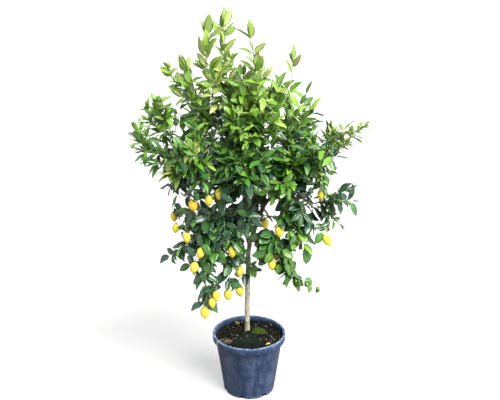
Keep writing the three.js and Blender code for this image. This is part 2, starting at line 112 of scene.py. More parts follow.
def soft_noise(points, size, seed=0):
    """Smooth noise from -1 to 1: random values at the corners of cells of that size, eased
    from corner to corner."""
    scaled = np.asarray(points) / size + 91.7 + 13.1 * seed
    cell = np.floor(scaled).astype(np.int64)
    inside = scaled - cell
    inside = inside * inside * (3.0 - 2.0 * inside)
    total = np.zeros(len(scaled))
    for corner in itertools.product((0, 1), repeat=3):
        place = cell + np.array(corner)
        key = place[:, 0] * 374761393 + place[:, 1] * 668265263 + place[:, 2] * 1442695041
        key = (key + seed * 97463477) & 0x7FFFFFFF
        key = ((key ^ (key >> 13)) * 1274126177) & 0x7FFFFFFF
        value = ((key ^ (key >> 16)) & 0xFFFF) / 32767.5 - 1.0
        weight = np.where(corner, inside, 1.0 - inside).prod(1)
        total += weight * value
    return total


# ------------------------------------------------------------------ meshes and pieces


def make_mesh(name, corners, faces, smooth=True):
    """A mesh from an array of corners and a list of face arrays, each with its own number
    of corners to a face."""
    mesh = bpy.data.meshes.new(name)
    corners = np.ascontiguousarray(corners, dtype=np.float32)
    loops = np.concatenate([part.ravel() for part in faces]).astype(np.int32)
    counts = np.concatenate([np.full(len(part), part.shape[1]) for part in faces])
    starts = np.concatenate([[0], np.cumsum(counts)[:-1]]).astype(np.int32)
    mesh.vertices.add(len(corners))
    mesh.vertices.foreach_set("co", corners.ravel())
    mesh.loops.add(len(loops))
    mesh.loops.foreach_set("vertex_index", loops)
    mesh.polygons.add(len(counts))
    mesh.polygons.foreach_set("loop_start", starts)
    mesh.polygons.foreach_set("use_smooth", np.full(len(counts), smooth))
    mesh.update(calc_edges=True)
    mesh.validate()
    return mesh


def store_tone(mesh, tone):
    """Keeps three numbers for each corner, which the materials read as Tone. One number for
    each corner is kept three times."""
    tone = tone[:, None] if tone.ndim == 1 else tone
    layer = mesh.attributes.new("Tone", "FLOAT_COLOR", "POINT")
    values = np.ones((len(mesh.vertices), 4), dtype=np.float32)
    values[:, :3] = tone
    layer.data.foreach_set("color", values.ravel())


def store_uv(mesh, uv):
    """Gives each face corner the UV of the corner it uses."""
    index = np.empty(len(mesh.loops), dtype=np.int32)
    mesh.loops.foreach_get("vertex_index", index)
    layer = mesh.uv_layers.new(name="Surface")
    layer.data.foreach_set("uv", uv[index].astype(np.float32).ravel())


def new_object(name, data):
    """An object with that mesh, light or camera, linked into the scene."""
    made = bpy.data.objects.new(name, data)
    bpy.context.scene.collection.objects.link(made)
    return made


def finish_piece(piece, material, node):
    """Gives a piece its material. It rides on the tree and stands for its node."""
    piece.data.materials.clear()
    piece.data.materials.append(material)
    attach(piece, "root")
    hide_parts(node)


def add_piece(name, mesh, material, node):
    """Puts a finished mesh into the scene as a piece."""
    finish_piece(new_object(name, mesh), material, node)


def applied(piece):
    """Turns a piece's modifiers into its mesh."""
    graph = bpy.context.evaluated_depsgraph_get()
    mesh = bpy.data.meshes.new_from_object(piece.evaluated_get(graph))
    piece.modifiers.clear()
    piece.data = mesh
    return mesh


def repeated(faces, count, size):
    """The faces of that many copies of a shape, each with its own size corners."""
    shift = np.arange(count)[:, None, None] * size
    return [(part[None] + shift).reshape(-1, part.shape[1]) for part in faces]


def turn_angles(count):
    """count even angles of a full turn."""
    return np.arange(count) * 2.0 * np.pi / count


def ring_faces(rings, around):
    """Quads between rings of corners that close on themselves, wound to face outwards when
    the rings rise and turn anticlockwise."""
    row, column = np.meshgrid(np.arange(rings - 1), np.arange(around), indexing="ij")
    after = (column + 1) % around
    quads = [row * around + column, row * around + after,
             (row + 1) * around + after, (row + 1) * around + column]
    return np.stack(quads, -1).reshape(-1, 4)


def end_fans(rings, around):
    """Triangles that close both ends of such rings. The corner of the first end comes straight
    after the rings' corners, and that of the last end after it."""
    column = np.arange(around)
    after = (column + 1) % around
    pole, top = rings * around, (rings - 1) * around
    return np.concatenate([
        np.stack([np.full(around, pole), after, column], -1),
        np.stack([np.full(around, pole + 1), top + column, top + after], -1),
    ])


def turned_surface(radius, height, around, shape=None):
    """A closed surface turned about Z, from its lowest or inner end to its other end. A corner
    is the profile's radius times the cosine and sine of its angle, and the profile's height.
    Both ends of the profile close in one corner. shape may change the grid of corners."""
    angle = turn_angles(around)
    grid = np.stack([
        radius[1:-1, None] * np.cos(angle),
        radius[1:-1, None] * np.sin(angle),
        np.broadcast_to(height[1:-1, None], (len(height) - 2, around)),
    ], -1)
    if shape is not None:
        grid = shape(grid)
    rings = len(radius) - 2
    poles = [[0.0, 0.0, height[0]], [0.0, 0.0, height[-1]]]
    corners = np.concatenate([grid.reshape(-1, 3), poles])
    return corners, [ring_faces(rings, around), end_fans(rings, around)]


def rounded(points, radii, steps=5):
    """A profile with its corners rounded: each corner becomes a quadratic curve that starts
    and ends its radius away from it."""
    points = np.array(points, dtype=float)
    share = np.linspace(0.0, 1.0, steps)[:, None]
    rows = [points[:1]]
    for i in range(1, len(points) - 1):
        before, here, after = points[i - 1:i + 2]
        if radii[i] == 0.0:
            rows.append(here[None])
            continue
        start = here + unit(before - here) * radii[i]
        end = here + unit(after - here) * radii[i]
        curve = (1 - share) ** 2 * start + 2 * share * (1 - share) * here + share ** 2 * end
        rows.append(curve)
    rows.append(points[-1:])
    return np.concatenate(rows)


def refined(profile, longest):
    """The same profile with extra points, so that none of its steps is longer than that."""
    rows = []
    for start, end in zip(profile[:-1], profile[1:]):
        count = max(1, int(np.ceil(np.linalg.norm(end - start) / longest)))
        share = np.arange(count)[:, None] / count
        rows.append(start + (end - start) * share)
    rows.append(profile[-1:])
    return np.concatenate(rows)


def smooth_path(points, count):
    """count points at even distances along the Catmull-Rom curve through the given ones."""
    points = np.asarray(points, dtype=float)
    ends = [2 * points[0] - points[1]], points, [2 * points[-1] - points[-2]]
    p = np.concatenate(ends)
    place = np.linspace(0.0, len(points) - 1.0, 16 * (len(points) - 1) + 1)
    i = np.minimum(place.astype(int), len(points) - 2)
    f = (place - i)[:, None]
    a, b, c, d = p[i], p[i + 1], p[i + 2], p[i + 3]
    dense = 0.5 * (2 * b + (c - a) * f + (2 * a - 5 * b + 4 * c - d) * f ** 2
                   + (3 * b - a - 3 * c + d) * f ** 3)
    gone = np.concatenate([[0.0], np.cumsum(np.linalg.norm(np.diff(dense, axis=0), axis=1))])
    wanted = np.linspace(0.0, gone[-1], count)
    return np.stack([np.interp(wanted, gone, dense[:, k]) for k in range(3)], -1)


def path_frames(paths):
    """The direction of each path at each of its points, and two directions square to it."""
    tangent = unit(np.gradient(paths, axis=1))
    mean = np.abs(paths[:, -1] - paths[:, 0])
    reference = np.eye(3)[np.argmin(mean, axis=1)][:, None]
    first = square_to(tangent, np.broadcast_to(reference, tangent.shape))
    return tangent, first, np.cross(tangent, first)


def stem_surface(paths, radii, sides, flat=1.0):
    """Closed stems along many paths at once. A corner is the path's point plus the radius
    times the cosine and sine of its angle along two directions square to the path, the second
    one flattened, and each end closes in one corner."""
    many, steps, _ = paths.shape
    _, first, second = path_frames(paths)
    angle = turn_angles(sides)
    wide = np.cos(angle)[:, None] * first[:, :, None]
    deep = flat * np.sin(angle)[:, None] * second[:, :, None]
    rings = paths[:, :, None] + radii[:, :, None, None] * (wide + deep)
    body = rings.reshape(many, steps * sides, 3)
    corners = np.concatenate([body, paths[:, :1], paths[:, -1:]], 1)
    faces = repeated([ring_faces(steps, sides), end_fans(steps, sides)], many, steps * sides + 2)
    return corners.reshape(-1, 3), faces


def turned_to(corners, start, axis):
    """Corners about Z, carried to start with Z turned to an axis."""
    first = square_to(axis, np.array([1.0, 0.0, 0.0]))
    second = np.cross(axis, first)
    return start + corners[:, :1] * first + corners[:, 1:2] * second + corners[:, 2:] * axis


# ------------------------------------------------------------------ leaves

ROWS = np.array([0.09, 0.19, 0.35, 0.54, 0.73, 0.89])    # along a leaf, between its ends
COLUMNS = np.array([-1.0, -0.5, 0.0, 0.5, 1.0])          # from one margin to the other
STALK_SHARE = 0.09           # share of a leaf's length that is its stalk
STALK_HALF_WIDTH = 0.0009
LEAF_HALF_THICKNESS = 0.0004
CROWN_MIDDLE = np.array([-0.01, 0.04, 0.0])
LEAST_BEND = 0.03            # radians, so that the arc of a flat leaf has a centre


def leaf_pattern():
    """The grid of one closed leaf: along (0 at the base, 1 at the tip), across (-1 to 1) and
    side (1 above, -1 below, 0 on the margin) of each corner, and the faces."""
    per_row = 2 * len(COLUMNS) - 2
    along, across, side = [0.0, 1.0], [0.0, 0.0], [0.0, 0.0]
    for row in ROWS:
        along += [row] * per_row
        across += list(COLUMNS) + list(COLUMNS[1:-1])
        side += [0.0, 1.0, 1.0, 1.0, 0.0, -1.0, -1.0, -1.0]
    start = 2 + np.arange(len(ROWS))[:, None] * per_row
    above = start + np.arange(len(COLUMNS))
    below = start + np.array([0, 5, 6, 7, 4])
    quads, fans = [], []
    for grid, face_down in ((above, False), (below, True)):
        quad = np.stack([grid[:-1, :-1], grid[1:, :-1], grid[1:, 1:], grid[:-1, 1:]], -1)
        spans = len(COLUMNS) - 1
        foot = np.stack([np.zeros(spans, int), grid[0, :-1], grid[0, 1:]], -1)
        tip = np.stack([np.ones(spans, int), grid[-1, 1:], grid[-1, :-1]], -1)
        quad, fan = quad.reshape(-1, 4), np.concatenate([foot, tip])
        quads.append(quad[:, ::-1] if face_down else quad)
        fans.append(fan[:, ::-1] if face_down else fan)
    grids = np.array(along), np.array(across), np.array(side)
    return grids, np.concatenate(quads), np.concatenate(fans)


LEAF_GRID, LEAF_QUADS, LEAF_FANS = leaf_pattern()


def blade_half_width(along):
    """Half a leaf's width as a share of its widest half, zero at both ends of the blade. The
    distance along the blade to the power 0.62, times what is left of it to the power 0.95."""
    share = np.clip((along - STALK_SHARE) / (1.0 - STALK_SHARE), 0.0, 1.0)
    return share ** 0.62 * (1.0 - share) ** 0.95 / 0.349


def leaf_surface(leaves):
    """Many leaves at once. The midrib is an arc that bends down by the leaf's droop, and turns
    about itself by its twist. Across it the blade rises to both margins by its fold, and waves
    by a sine along its length that grows with the square of the distance from the midrib."""
    along, across, side = LEAF_GRID
    size = leaves["length"][:, None]
    bend = np.where(np.abs(leaves["droop"]) < LEAST_BEND, LEAST_BEND, leaves["droop"])[:, None]
    turn = leaves["twist"][:, None] * along
    angle = bend * along
    direction = leaves["along"][:, None]
    normal = leaves["up"][:, None]
    sideways = np.cross(leaves["up"], leaves["along"])[:, None]
    forward = (np.sin(angle) / bend * size)[..., None]
    down = ((1.0 - np.cos(angle)) / bend * size)[..., None]
    spine = leaves["base"][:, None] + forward * direction - down * normal
    lifted = np.sin(angle)[..., None] * direction + np.cos(angle)[..., None] * normal
    cos, sin = np.cos(turn)[..., None], np.sin(turn)[..., None]
    rib_side = cos * sideways + sin * lifted
    rib_up = cos * lifted - sin * sideways
    half = 0.5 * leaves["ratio"][:, None] * blade_half_width(along) * size
    half = np.maximum(half, np.where((along > 0.0) & (along < 1.0), STALK_HALF_WIDTH, 0.0))
    wave = np.sin(2.0 * np.pi * (1.6 * along + leaves["phase"][:, None]))
    height = half * np.abs(across) * leaves["fold"][:, None]
    height = height + half * across ** 2 * wave * leaves["wave"][:, None]
    height = height + side * LEAF_HALF_THICKNESS * (1.25 - across ** 2)
    corners = spine + rib_side * (half * across)[..., None] + rib_up * height[..., None]
    count = len(leaves["length"])
    faces = repeated([LEAF_QUADS, LEAF_FANS], count, len(along))
    uv = np.stack([np.tile(along, count), np.tile(across * 0.5 + 0.5, count)], -1)
    under = np.tile(np.where(side < 0.0, 1.0, 0.0), count)
    age = np.repeat(leaves["age"], len(along))
    shade = np.repeat(leaves["shade"], len(along))
    return corners.reshape(-1, 3), faces, uv, np.stack([age, shade, under], -1)


def leaf_mesh(name, leaves):
    """The mesh of many leaves with its UV map and tones."""
    corners, faces, uv, tone = leaf_surface(leaves)
    mesh = make_mesh(name, corners, faces)
    store_uv(mesh, uv)
    store_tone(mesh, tone)
    return mesh


def join_leaves(groups):
    """One set of leaves from several."""
    return {key: np.concatenate([group[key] for group in groups]) for key in groups[0]}


def some_leaves(leaves, keep):
    """The leaves that keep picks."""
    return {key: values[keep] for key, values in leaves.items()}


def point_on(leaves, share):
    """The place on each leaf's straight axis at that share of its length."""
    return leaves["base"] + leaves["along"] * leaves["length"][:, None] * share


def droop_at(height):
    """How strongly leaves hang: not at all in the top of the crown, most in its lowest part."""
    return 1.0 - ease(height, 0.95, 1.5)


def youth_at(points):
    """How young the leaves are at each place: mature low down, young in the top."""
    return 0.10 + 0.75 * ease(points[:, 2], 1.04, 1.86)


def leaves_at(rng, base, along, length, youth=0.0, hang=1.0, width=0.0):
    """Leaves with the given bases, directions and lengths. Their faces turn to the sky high
    up and outwards low down, and the rest of their shape is drawn at random."""
    count = len(base)
    sag = hang * droop_at(base[:, 2:3])
    along = unit(along - 0.28 * sag * UP + rng.normal(0.0, 0.15, (count, 3)))
    outward = unit(base * LEVEL - CROWN_MIDDLE)
    face = UP * (1.0 - 0.35 * sag) + outward * (0.25 + 0.65 * sag)
    face = face + LIGHT * ease(base[:, 2:3], 1.4, 1.8)
    face = face + rng.normal(0.0, 0.34, (count, 3))
    low = sag[:, 0]
    return {
        "base": base,
        "along": along,
        "up": square_to(along, face),
        "length": length,
        "ratio": rng.uniform(0.32, 0.43, count) + 0.15 * low + width,
        "fold": rng.uniform(0.10, 0.50, count) - 0.10 * low,
        "droop": rng.uniform(0.05, 0.55, count) + 0.20 * low,
        "twist": rng.normal(0.0, 0.28, count),
        "wave": rng.uniform(0.0, 0.22, count),
        "phase": rng.uniform(0.0, 1.0, count),
        "age": np.clip(youth_at(base) + youth + rng.normal(0.0, 0.13, count), 0.0, 1.0),
        "shade": rng.uniform(0.0, 1.0, count),
    }


def leaves_on(rng, path, count, start, length, lean, youth=0.0, hang=1.0, width=0.0,
              tip=PLAIN_TIP):
    """Leaves along a shoot: count of them in a golden-angle spiral from the share start of it
    to its end, leaning outwards by lean, and a smaller one at the end. They are younger by
    tip at the end."""
    tangent, first, second = (grid[0] for grid in path_frames(path[None]))
    share = start + (1.0 - start) * (np.arange(count) + rng.uniform(0.1, 0.7, count)) / count
    place = np.append(np.clip(share, 0.0, 1.0), 1.0) * (len(path) - 1)
    column = np.arange(len(path))

    def at(grid):
        """The values of a grid along the path, at the leaves' places."""
        return np.stack([np.interp(place, column, grid[:, k]) for k in range(3)], -1)

    angle = rng.uniform(0.0, 2.0 * np.pi) + GOLDEN_ANGLE * np.arange(count + 1)
    out = np.cos(angle)[:, None] * at(first) + np.sin(angle)[:, None] * at(second)
    slant = rng.normal(lean, 0.16, count + 1)[:, None]
    slant[-1] *= 0.2
    along = unit(np.cos(slant) * at(tangent) + np.sin(slant) * unit(out))
    size = length * rng.uniform(0.78, 1.14, count + 1)
    size[-1] *= 0.85
    age_offset_and_painted_light = youth + tip * np.append(share, 1.0) - 0.04
    return leaves_at(rng, at(path), along, size, age_offset_and_painted_light, hang, width)


# ------------------------------------------------------------------ reading the frame


def node_shape(name):
    """A frame node's corners, each once, and its triangles."""
    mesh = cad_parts[name].data
    flat = np.empty(3 * len(mesh.vertices), dtype=np.float32)
    mesh.vertices.foreach_get("co", flat)
    index = np.empty(len(mesh.loops), dtype=np.int32)
    mesh.loops.foreach_get("vertex_index", index)
    corners, same = np.unique(np.round(flat.reshape(-1, 3), 5), axis=0, return_inverse=True)
    return corners.astype(float), same.ravel()[index].reshape(-1, 3)


def edges_of(triangles):
    """Every edge of the triangles, once in each direction."""
    pairs = np.concatenate([triangles[:, [0, 1]], triangles[:, [1, 2]], triangles[:, [2, 0]]])
    return np.unique(np.concatenate([pairs, pairs[:, ::-1]]), axis=0)


def distance_along(corners, edges, start, even=False):
    """Each corner's distance from the start along the edges. With even, every edge counts as
    one, so that the rings of a stem have whole numbers."""
    length = np.linalg.norm(corners[edges[:, 0]] - corners[edges[:, 1]], axis=1)
    if even:
        length = np.ones(len(edges))
    reach = np.full(len(corners), np.inf)
    reach[start] = 0.0
    while True:
        shorter = reach.copy()
        np.minimum.at(shorter, edges[:, 1], reach[edges[:, 0]] + length)
        if np.array_equal(shorter, reach):
            return reach
        reach = shorter


TRUNK_CORNERS, TRUNK_TRIANGLES = node_shape("trunk")
TRUNK_TREE = BVHTree.FromPolygons(TRUNK_CORNERS.tolist(), TRUNK_TRIANGLES.tolist())


def read_blades(name):
    """The blades and joints of a leafy branch of the frame. A blade's tip is a corner that
    lies further from the branch's foot, along the edges, than all its neighbours, and the
    middle of those neighbours is on its axis where it is widest."""
    corners, triangles = node_shape(name)
    edges = edges_of(triangles)
    gaps = [TRUNK_TREE.find_nearest(corner)[3] for corner in corners.tolist()]
    foot = corners[int(np.argmin(gaps))]
    reach = distance_along(corners, edges, int(np.argmin(gaps)))
    furthest = np.zeros(len(corners))
    np.maximum.at(furthest, edges[:, 1], reach[edges[:, 0]])
    blades = []
    for tip in np.flatnonzero(reach > furthest):
        near = corners[edges[edges[:, 0] == tip, 1]]
        middle = near.mean(0)
        half = np.linalg.norm(corners[tip] - middle)
        if half < 0.02 or len(near) < 3:
            continue
        length = half / (1.0 - BLADE_WIDEST)
        axis = (corners[tip] - middle) / half
        blades.append((corners[tip] - axis * length, axis, length, reach[tip] - length))
    return foot, blades


def read_branch(name):
    """The branch's blades, and its twigs as paths from its foot. Blades that start at one
    place share a joint, and each joint follows the nearer one that lies on its way."""
    foot, blades = read_blades(name)
    joints, reach = [foot], [0.0]
    for base, _, _, gone in sorted(blades, key=lambda blade: blade[3]):
        if min(np.linalg.norm(base - joint) for joint in joints) > 0.012:
            joints.append(base)
            reach.append(gone)
    joints, reach = np.array(joints), np.array(reach)
    parent = np.full(len(joints), -1)
    for i in range(1, len(joints)):
        apart = np.linalg.norm(joints - joints[i], axis=1)
        detour = np.abs(reach + apart - reach[i])
        cost = np.where(reach < reach[i] - 0.008, 2.0 * detour + apart, np.inf)
        parent[i] = int(np.argmin(cost))
    paths = []
    for i in range(1, len(joints)):
        if i in parent:
            continue
        way = [i]
        while parent[way[-1]] >= 0:
            way.append(int(parent[way[-1]]))
        paths.append(joints[way[::-1]])
    return [blade[:3] for blade in blades], paths


def read_lemon(name):
    """A lemon's stalk end, the two ends of its fruit, and its greatest radius. The nipple is
    the corner furthest from the stalk's end, and the stalk is 20 mm long."""
    corners, _ = node_shape(name)
    top = corners[corners[:, 2] > corners[:, 2].max() - 0.003].mean(0)
    tip = corners[np.argmax(np.linalg.norm(corners - top, axis=1))]
    axis = unit(top - tip)
    off = corners - tip
    off = off - (off @ axis)[:, None] * axis
    return top, top - axis * 0.020, tip, np.linalg.norm(off, axis=1).max()


def named_nodes(*endings):
    """The frame's nodes whose names end so, in order."""
    return sorted(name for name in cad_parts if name.endswith(endings))


BRANCH_NODES = named_nodes("_branch", "_sprout")
LEMON_NODES = sorted(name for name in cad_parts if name.startswith("lemon_"))
LEMONS = {name: read_lemon(name) for name in LEMON_NODES}
BRANCHES = {name: read_branch(name) for name in BRANCH_NODES}
CAD_LOW, CAD_HIGH = (np.array(corner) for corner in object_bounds())


# ------------------------------------------------------------------ material tools


def srgb(red, green, blue):
    """A colour given as 0 to 255 on a screen, as the linear one that a shader takes."""
    value = np.array([red, green, blue]) / 255.0
    linear = np.where(value <= 0.04045, value / 12.92, ((value + 0.055) / 1.055) ** 2.4)
    return (*linear.tolist(), 1.0)


def toned(colour, share):
    """A colour times a share, without its alpha."""
    return tuple(share * part for part in colour[:3])


MIX_COLOUR_INPUTS = (0, 6, 7)        # a Mix node's share and colours among all its sockets
MIX_COLOUR_OUTPUT = 2


class Nodes:
    """Makes and joins the nodes of one material or group."""

    def __init__(self, tree):
        """Works on that node tree."""
        self.tree = tree

    def add(self, kind, **values):
        """A node of that kind, with its input sockets set or joined by name."""
        node = self.tree.nodes.new(kind)
        for name, value in values.items():
            self.put(node.inputs[name], value)
        return node

    def put(self, socket, value):
        """Joins a socket to another one, or sets it. A colour may leave out its alpha."""
        if isinstance(value, bpy.types.NodeSocket):
            self.tree.links.new(value, socket)
        elif socket.type == "RGBA":
            socket.default_value = (*value[:3], 1.0)
        else:
            socket.default_value = value

    def math(self, operation, first, second=0.0, third=0.0, clamp=False):
        """A math node's value."""
        node = self.tree.nodes.new("ShaderNodeMath")
        node.operation = operation
        node.use_clamp = clamp
        for socket, value in zip(node.inputs, (first, second, third)):
            self.put(socket, value)
        return node.outputs[0]

    def mix(self, share, first, second):
        """Two colours mixed by a share."""
        node = self.tree.nodes.new("ShaderNodeMix")
        node.data_type = "RGBA"
        for socket, value in zip(MIX_COLOUR_INPUTS, (share, first, second)):
            self.put(node.inputs[socket], value)
        return node.outputs[MIX_COLOUR_OUTPUT]

    def span(self, value, low, high, to_low=0.0, to_high=1.0):
        """A value carried from one range to another, smoothly and within its ends."""
        node = self.tree.nodes.new("ShaderNodeMapRange")
        node.interpolation_type = "SMOOTHSTEP"
        for socket, number in zip(node.inputs, (value, low, high, to_low, to_high)):
            self.put(socket, number)
        return node.outputs[0]

    def noise(self, place, scale, detail=3.0, roughness=0.55):
        """Noise from 0 to 1."""
        node = self.add("ShaderNodeTexNoise", Scale=scale, Detail=detail, Roughness=roughness)
        self.put(node.inputs["Vector"], place)
        return node.outputs["Fac"]

    def place(self, stretch=(1.0, 1.0, 1.0)):
        """Object coordinates, stretched."""
        where = self.tree.nodes.new("ShaderNodeTexCoord").outputs["Object"]
        mapping = self.add("ShaderNodeMapping", Vector=where)
        mapping.inputs["Scale"].default_value = stretch
        return mapping.outputs[0]

    def group(self, name, **values):
        """A shared group placed here with its own values."""
        node = self.tree.nodes.new("ShaderNodeGroup")
        node.node_tree = shared(name)
        for label, value in values.items():
            self.put(node.inputs[label], value)
        return node.outputs

    def mottle(self, place, scale, contrast):
        """The mask of a Mottle group."""
        return self.group("Mottle", Place=place, Scale=scale, Contrast=contrast)["Mask"]

    def grain(self, place, scale, pits):
        """The height of a Grain group."""
        return self.group("Grain", Place=place, Scale=scale, Pits=pits)["Height"]

    def ribs(self, veins):
        """The masks of a Ribs group on the piece's UV map."""
        uv = self.add("ShaderNodeUVMap")
        uv.uv_map = "Surface"
        return self.group("Ribs", UV=uv.outputs[0], Veins=veins)

    def tones(self):
        """The three numbers kept with the mesh."""
        attribute = self.add("ShaderNodeAttribute")
        attribute.attribute_name = "Tone"
        return self.add("ShaderNodeSeparateColor", Color=attribute.outputs["Color"]).outputs


def new_group(name, inputs, outputs):
    """An empty shader group with those sockets: its nodes, its inputs and its outputs."""
    tree = bpy.data.node_groups.new(name, "ShaderNodeTree")
    for label, kind, value in inputs:
        socket = tree.interface.new_socket(label, in_out="INPUT", socket_type=kind)
        if value is not None:
            socket.default_value = value
    for label, kind in outputs:
        tree.interface.new_socket(label, in_out="OUTPUT", socket_type=kind)
    nodes = Nodes(tree)
    into = tree.nodes.new("NodeGroupInput").outputs
    out = tree.nodes.new("NodeGroupOutput").inputs
    return nodes, into, out


def mottle_group():
    """Mottle: soft patches with finer ones in them, from 0 to 1."""
    nodes, into, out = new_group(
        "Mottle",
        [("Place", "NodeSocketVector", None), ("Scale", "NodeSocketFloat", 40.0),
         ("Contrast", "NodeSocketFloat", 0.5)],
        [("Mask", "NodeSocketFloat")])
    broad = nodes.noise(into["Place"], into["Scale"], 4.0, 0.6)
    fine = nodes.noise(into["Place"], nodes.math("MULTIPLY", into["Scale"], 5.3), 3.0, 0.6)
    both = nodes.math("MULTIPLY_ADD", fine, 0.35, nodes.math("MULTIPLY", broad, 0.65))
    low = nodes.math("MULTIPLY_ADD", into["Contrast"], 0.24, 0.24)
    high = nodes.math("MULTIPLY_ADD", into["Contrast"], -0.24, 0.76)
    nodes.put(out["Mask"], nodes.span(both, low, high))
    return nodes.tree


def grain_group():
    """Grain: a bump height made of fine noise and small round pits."""
    nodes, into, out = new_group(
        "Grain",
        [("Place", "NodeSocketVector", None), ("Scale", "NodeSocketFloat", 300.0),
         ("Pits", "NodeSocketFloat", 0.5)],
        [("Height", "NodeSocketFloat")])
    fine = nodes.noise(into["Place"], into["Scale"], 3.0, 0.6)
    cells = nodes.add("ShaderNodeTexVoronoi", Vector=into["Place"], Scale=into["Scale"])
    pits = nodes.span(cells.outputs["Distance"], 0.05, 0.45)
    nodes.put(out["Height"], nodes.math("MULTIPLY_ADD", pits, into["Pits"], fine))
    return nodes.tree


def rib_group():
    """Ribs: a leaf's midrib and its slanting side veins, from 0 to 1, on its UV map."""
    nodes, into, out = new_group(
        "Ribs",
        [("UV", "NodeSocketVector", None), ("Veins", "NodeSocketFloat", 11.0)],
        [("Midrib", "NodeSocketFloat"), ("Vein", "NodeSocketFloat"),
         ("Margin", "NodeSocketFloat")])
    parts = nodes.add("ShaderNodeSeparateXYZ", Vector=into["UV"]).outputs
    off = nodes.math("ABSOLUTE", nodes.math("MULTIPLY_ADD", parts[1], 2.0, -1.0))
    nodes.put(out["Midrib"], nodes.span(off, 0.03, 0.10, 1.0, 0.0))
    slant = nodes.math("MULTIPLY_ADD", off, -0.16, parts[0])
    wave = nodes.math("PINGPONG", nodes.math("MULTIPLY", slant, into["Veins"]), 0.5)
    line = nodes.span(wave, 0.0, 0.11, 1.0, 0.0)
    nodes.put(out["Vein"], nodes.math("MULTIPLY", line, nodes.span(off, 0.55, 0.95, 1.0, 0.0)))
    nodes.put(out["Margin"], nodes.span(off, 0.86, 1.0))
    return nodes.tree


def shared(name):
    """A shared group by name, made the first time that it is asked for."""
    makers = {"Mottle": mottle_group, "Grain": grain_group, "Ribs": rib_group}
    return bpy.data.node_groups.get(name) or makers[name]()


def new_material(name):
    """A material with only a principled shader: the material, its nodes and the shader."""
    material = bpy.data.materials.get(name)
    if material:
        bpy.data.materials.remove(material)
    material = bpy.data.materials.new(name)
    material.use_nodes = True
    nodes = Nodes(material.node_tree)
    shader = material.node_tree.nodes["Principled BSDF"]
    return material, nodes, shader


def bump(nodes, shader, height, distance, strength=0.6):
    """Joins a bump height to a shader's normal."""
    node = nodes.add("ShaderNodeBump", Height=height)
    node.inputs["Strength"].default_value = strength
    node.inputs["Distance"].default_value = distance
    nodes.put(shader.inputs["Normal"], node.outputs[0])


def dress(nodes, shader, colour, rough, height, distance, strength=0.6):
    """Joins a shader's colour, roughness and bump. rough is a mask, and the roughness where
    the mask is 0 and where it is 1."""
    mask, at_none, at_full = rough
    nodes.put(shader.inputs["Base Color"], colour)
    nodes.put(shader.inputs["Roughness"], nodes.span(mask, 0.0, 1.0, at_none, at_full))
    bump(nodes, shader, height, distance, strength)


# ------------------------------------------------------------------ settings


def colour_setting(name, description, red, green, blue):
    """A colour property with a default given as 0 to 255 on a screen."""
    return bpy.props.FloatVectorProperty(
        name=name, description=description, subtype="COLOR", size=4, min=0.0, max=1.0,
        default=srgb(red, green, blue))


def length_setting(name, description, default):
    """A length property in metres."""
    return bpy.props.FloatProperty(
        name=name, description=description, default=default, min=0.0, unit="LENGTH",
        precision=4)


class PotSettings(bpy.types.PropertyGroup):
    """Sizes and colours of the pot."""

    plastic: colour_setting("Plastic", "Colour of the moulded plastic", 10, 32, 66)
    # This pale colour is also used for the painted highlights on the rim's lip and on the skirt's
    # dashes.
    dust_wear_and_highlight: colour_setting("Scuffs", "Colour of worn and dusty places", 132, 153, 190)
    wall: length_setting("Wall", "Thickness of the pot's wall", 0.004)
    flute: length_setting("Flutes", "Depth of the wall's faint upright flutes", 0.0007)
    gussets: bpy.props.IntProperty(
        name="Gussets", description="Ribs between the wall and the rim's skirt",
        default=28, min=0, max=60)


class SoilSettings(bpy.types.PropertyGroup):
    """Sizes and colours of the soil, its moss and its litter."""

    humus: colour_setting("Humus", "Colour of the damp soil", 4, 5, 5)
    fibre: colour_setting("Fibre", "Colour of the drier fibres and crumbs", 150, 146, 124)
    moss: colour_setting("Moss", "Colour of the bright moss", 74, 92, 34)
    dark_moss: colour_setting("Dark moss", "Colour of the dark moss", 14, 22, 18)
    dry_leaf: colour_setting("Dry leaf", "Colour of the fallen leaves", 206, 190, 96)
    straw: colour_setting("Straw", "Colour of the dry straw", 176, 166, 140)
    relief: length_setting("Relief", "Height of the soil's lumps", 0.0065)
    crumbs: bpy.props.IntProperty(
        name="Crumbs", description="Loose crumbs on the soil", default=1700, min=0, max=3000)


class WoodSettings(bpy.types.PropertyGroup):
    """Sizes and colours of the trunk, limbs and twigs."""

    bark: colour_setting("Bark", "Colour of the trunk's pale bark", 232, 228, 214)
    crevice: colour_setting("Crevices", "Colour of the bark's streaks", 104, 96, 76)
    limb: colour_setting("Limbs", "Colour of the limbs inside the crown", 94, 82, 60)
    green_twig: colour_setting("Green twigs", "Colour of the young twigs", 120, 146, 72)
    relief: length_setting("Relief", "Height of the bark's ridges", 0.0009)
    voxel: length_setting("Detail", "Size of the mesh cells on the trunk", 0.0026)
    twig: length_setting("Twig radius", "Radius of a twig where it leaves its limb", 0.0031)


class LeafSettings(bpy.types.PropertyGroup):
    """Sizes, numbers and colours of the leaves."""

    mature: colour_setting("Mature", "Colour of the oldest leaves", 34, 80, 58)
    grown: colour_setting("Grown", "Colour of the grown leaves", 72, 130, 42)
    fresh: colour_setting("Fresh", "Colour of the fresh leaves", 132, 182, 48)
    young: colour_setting("Young", "Colour of the youngest leaves", 174, 190, 98)
    under: colour_setting("Underside", "Colour of the undersides", 112, 142, 70)
    size: bpy.props.FloatProperty(
        name="Size", description="Leaf size against the frame's blades",
        default=1.0, min=0.5, max=1.5)
    inner: bpy.props.IntProperty(
        name="Inner shoots", description="Leafy shoots on the limbs inside the crown",
        default=190, min=0, max=400)


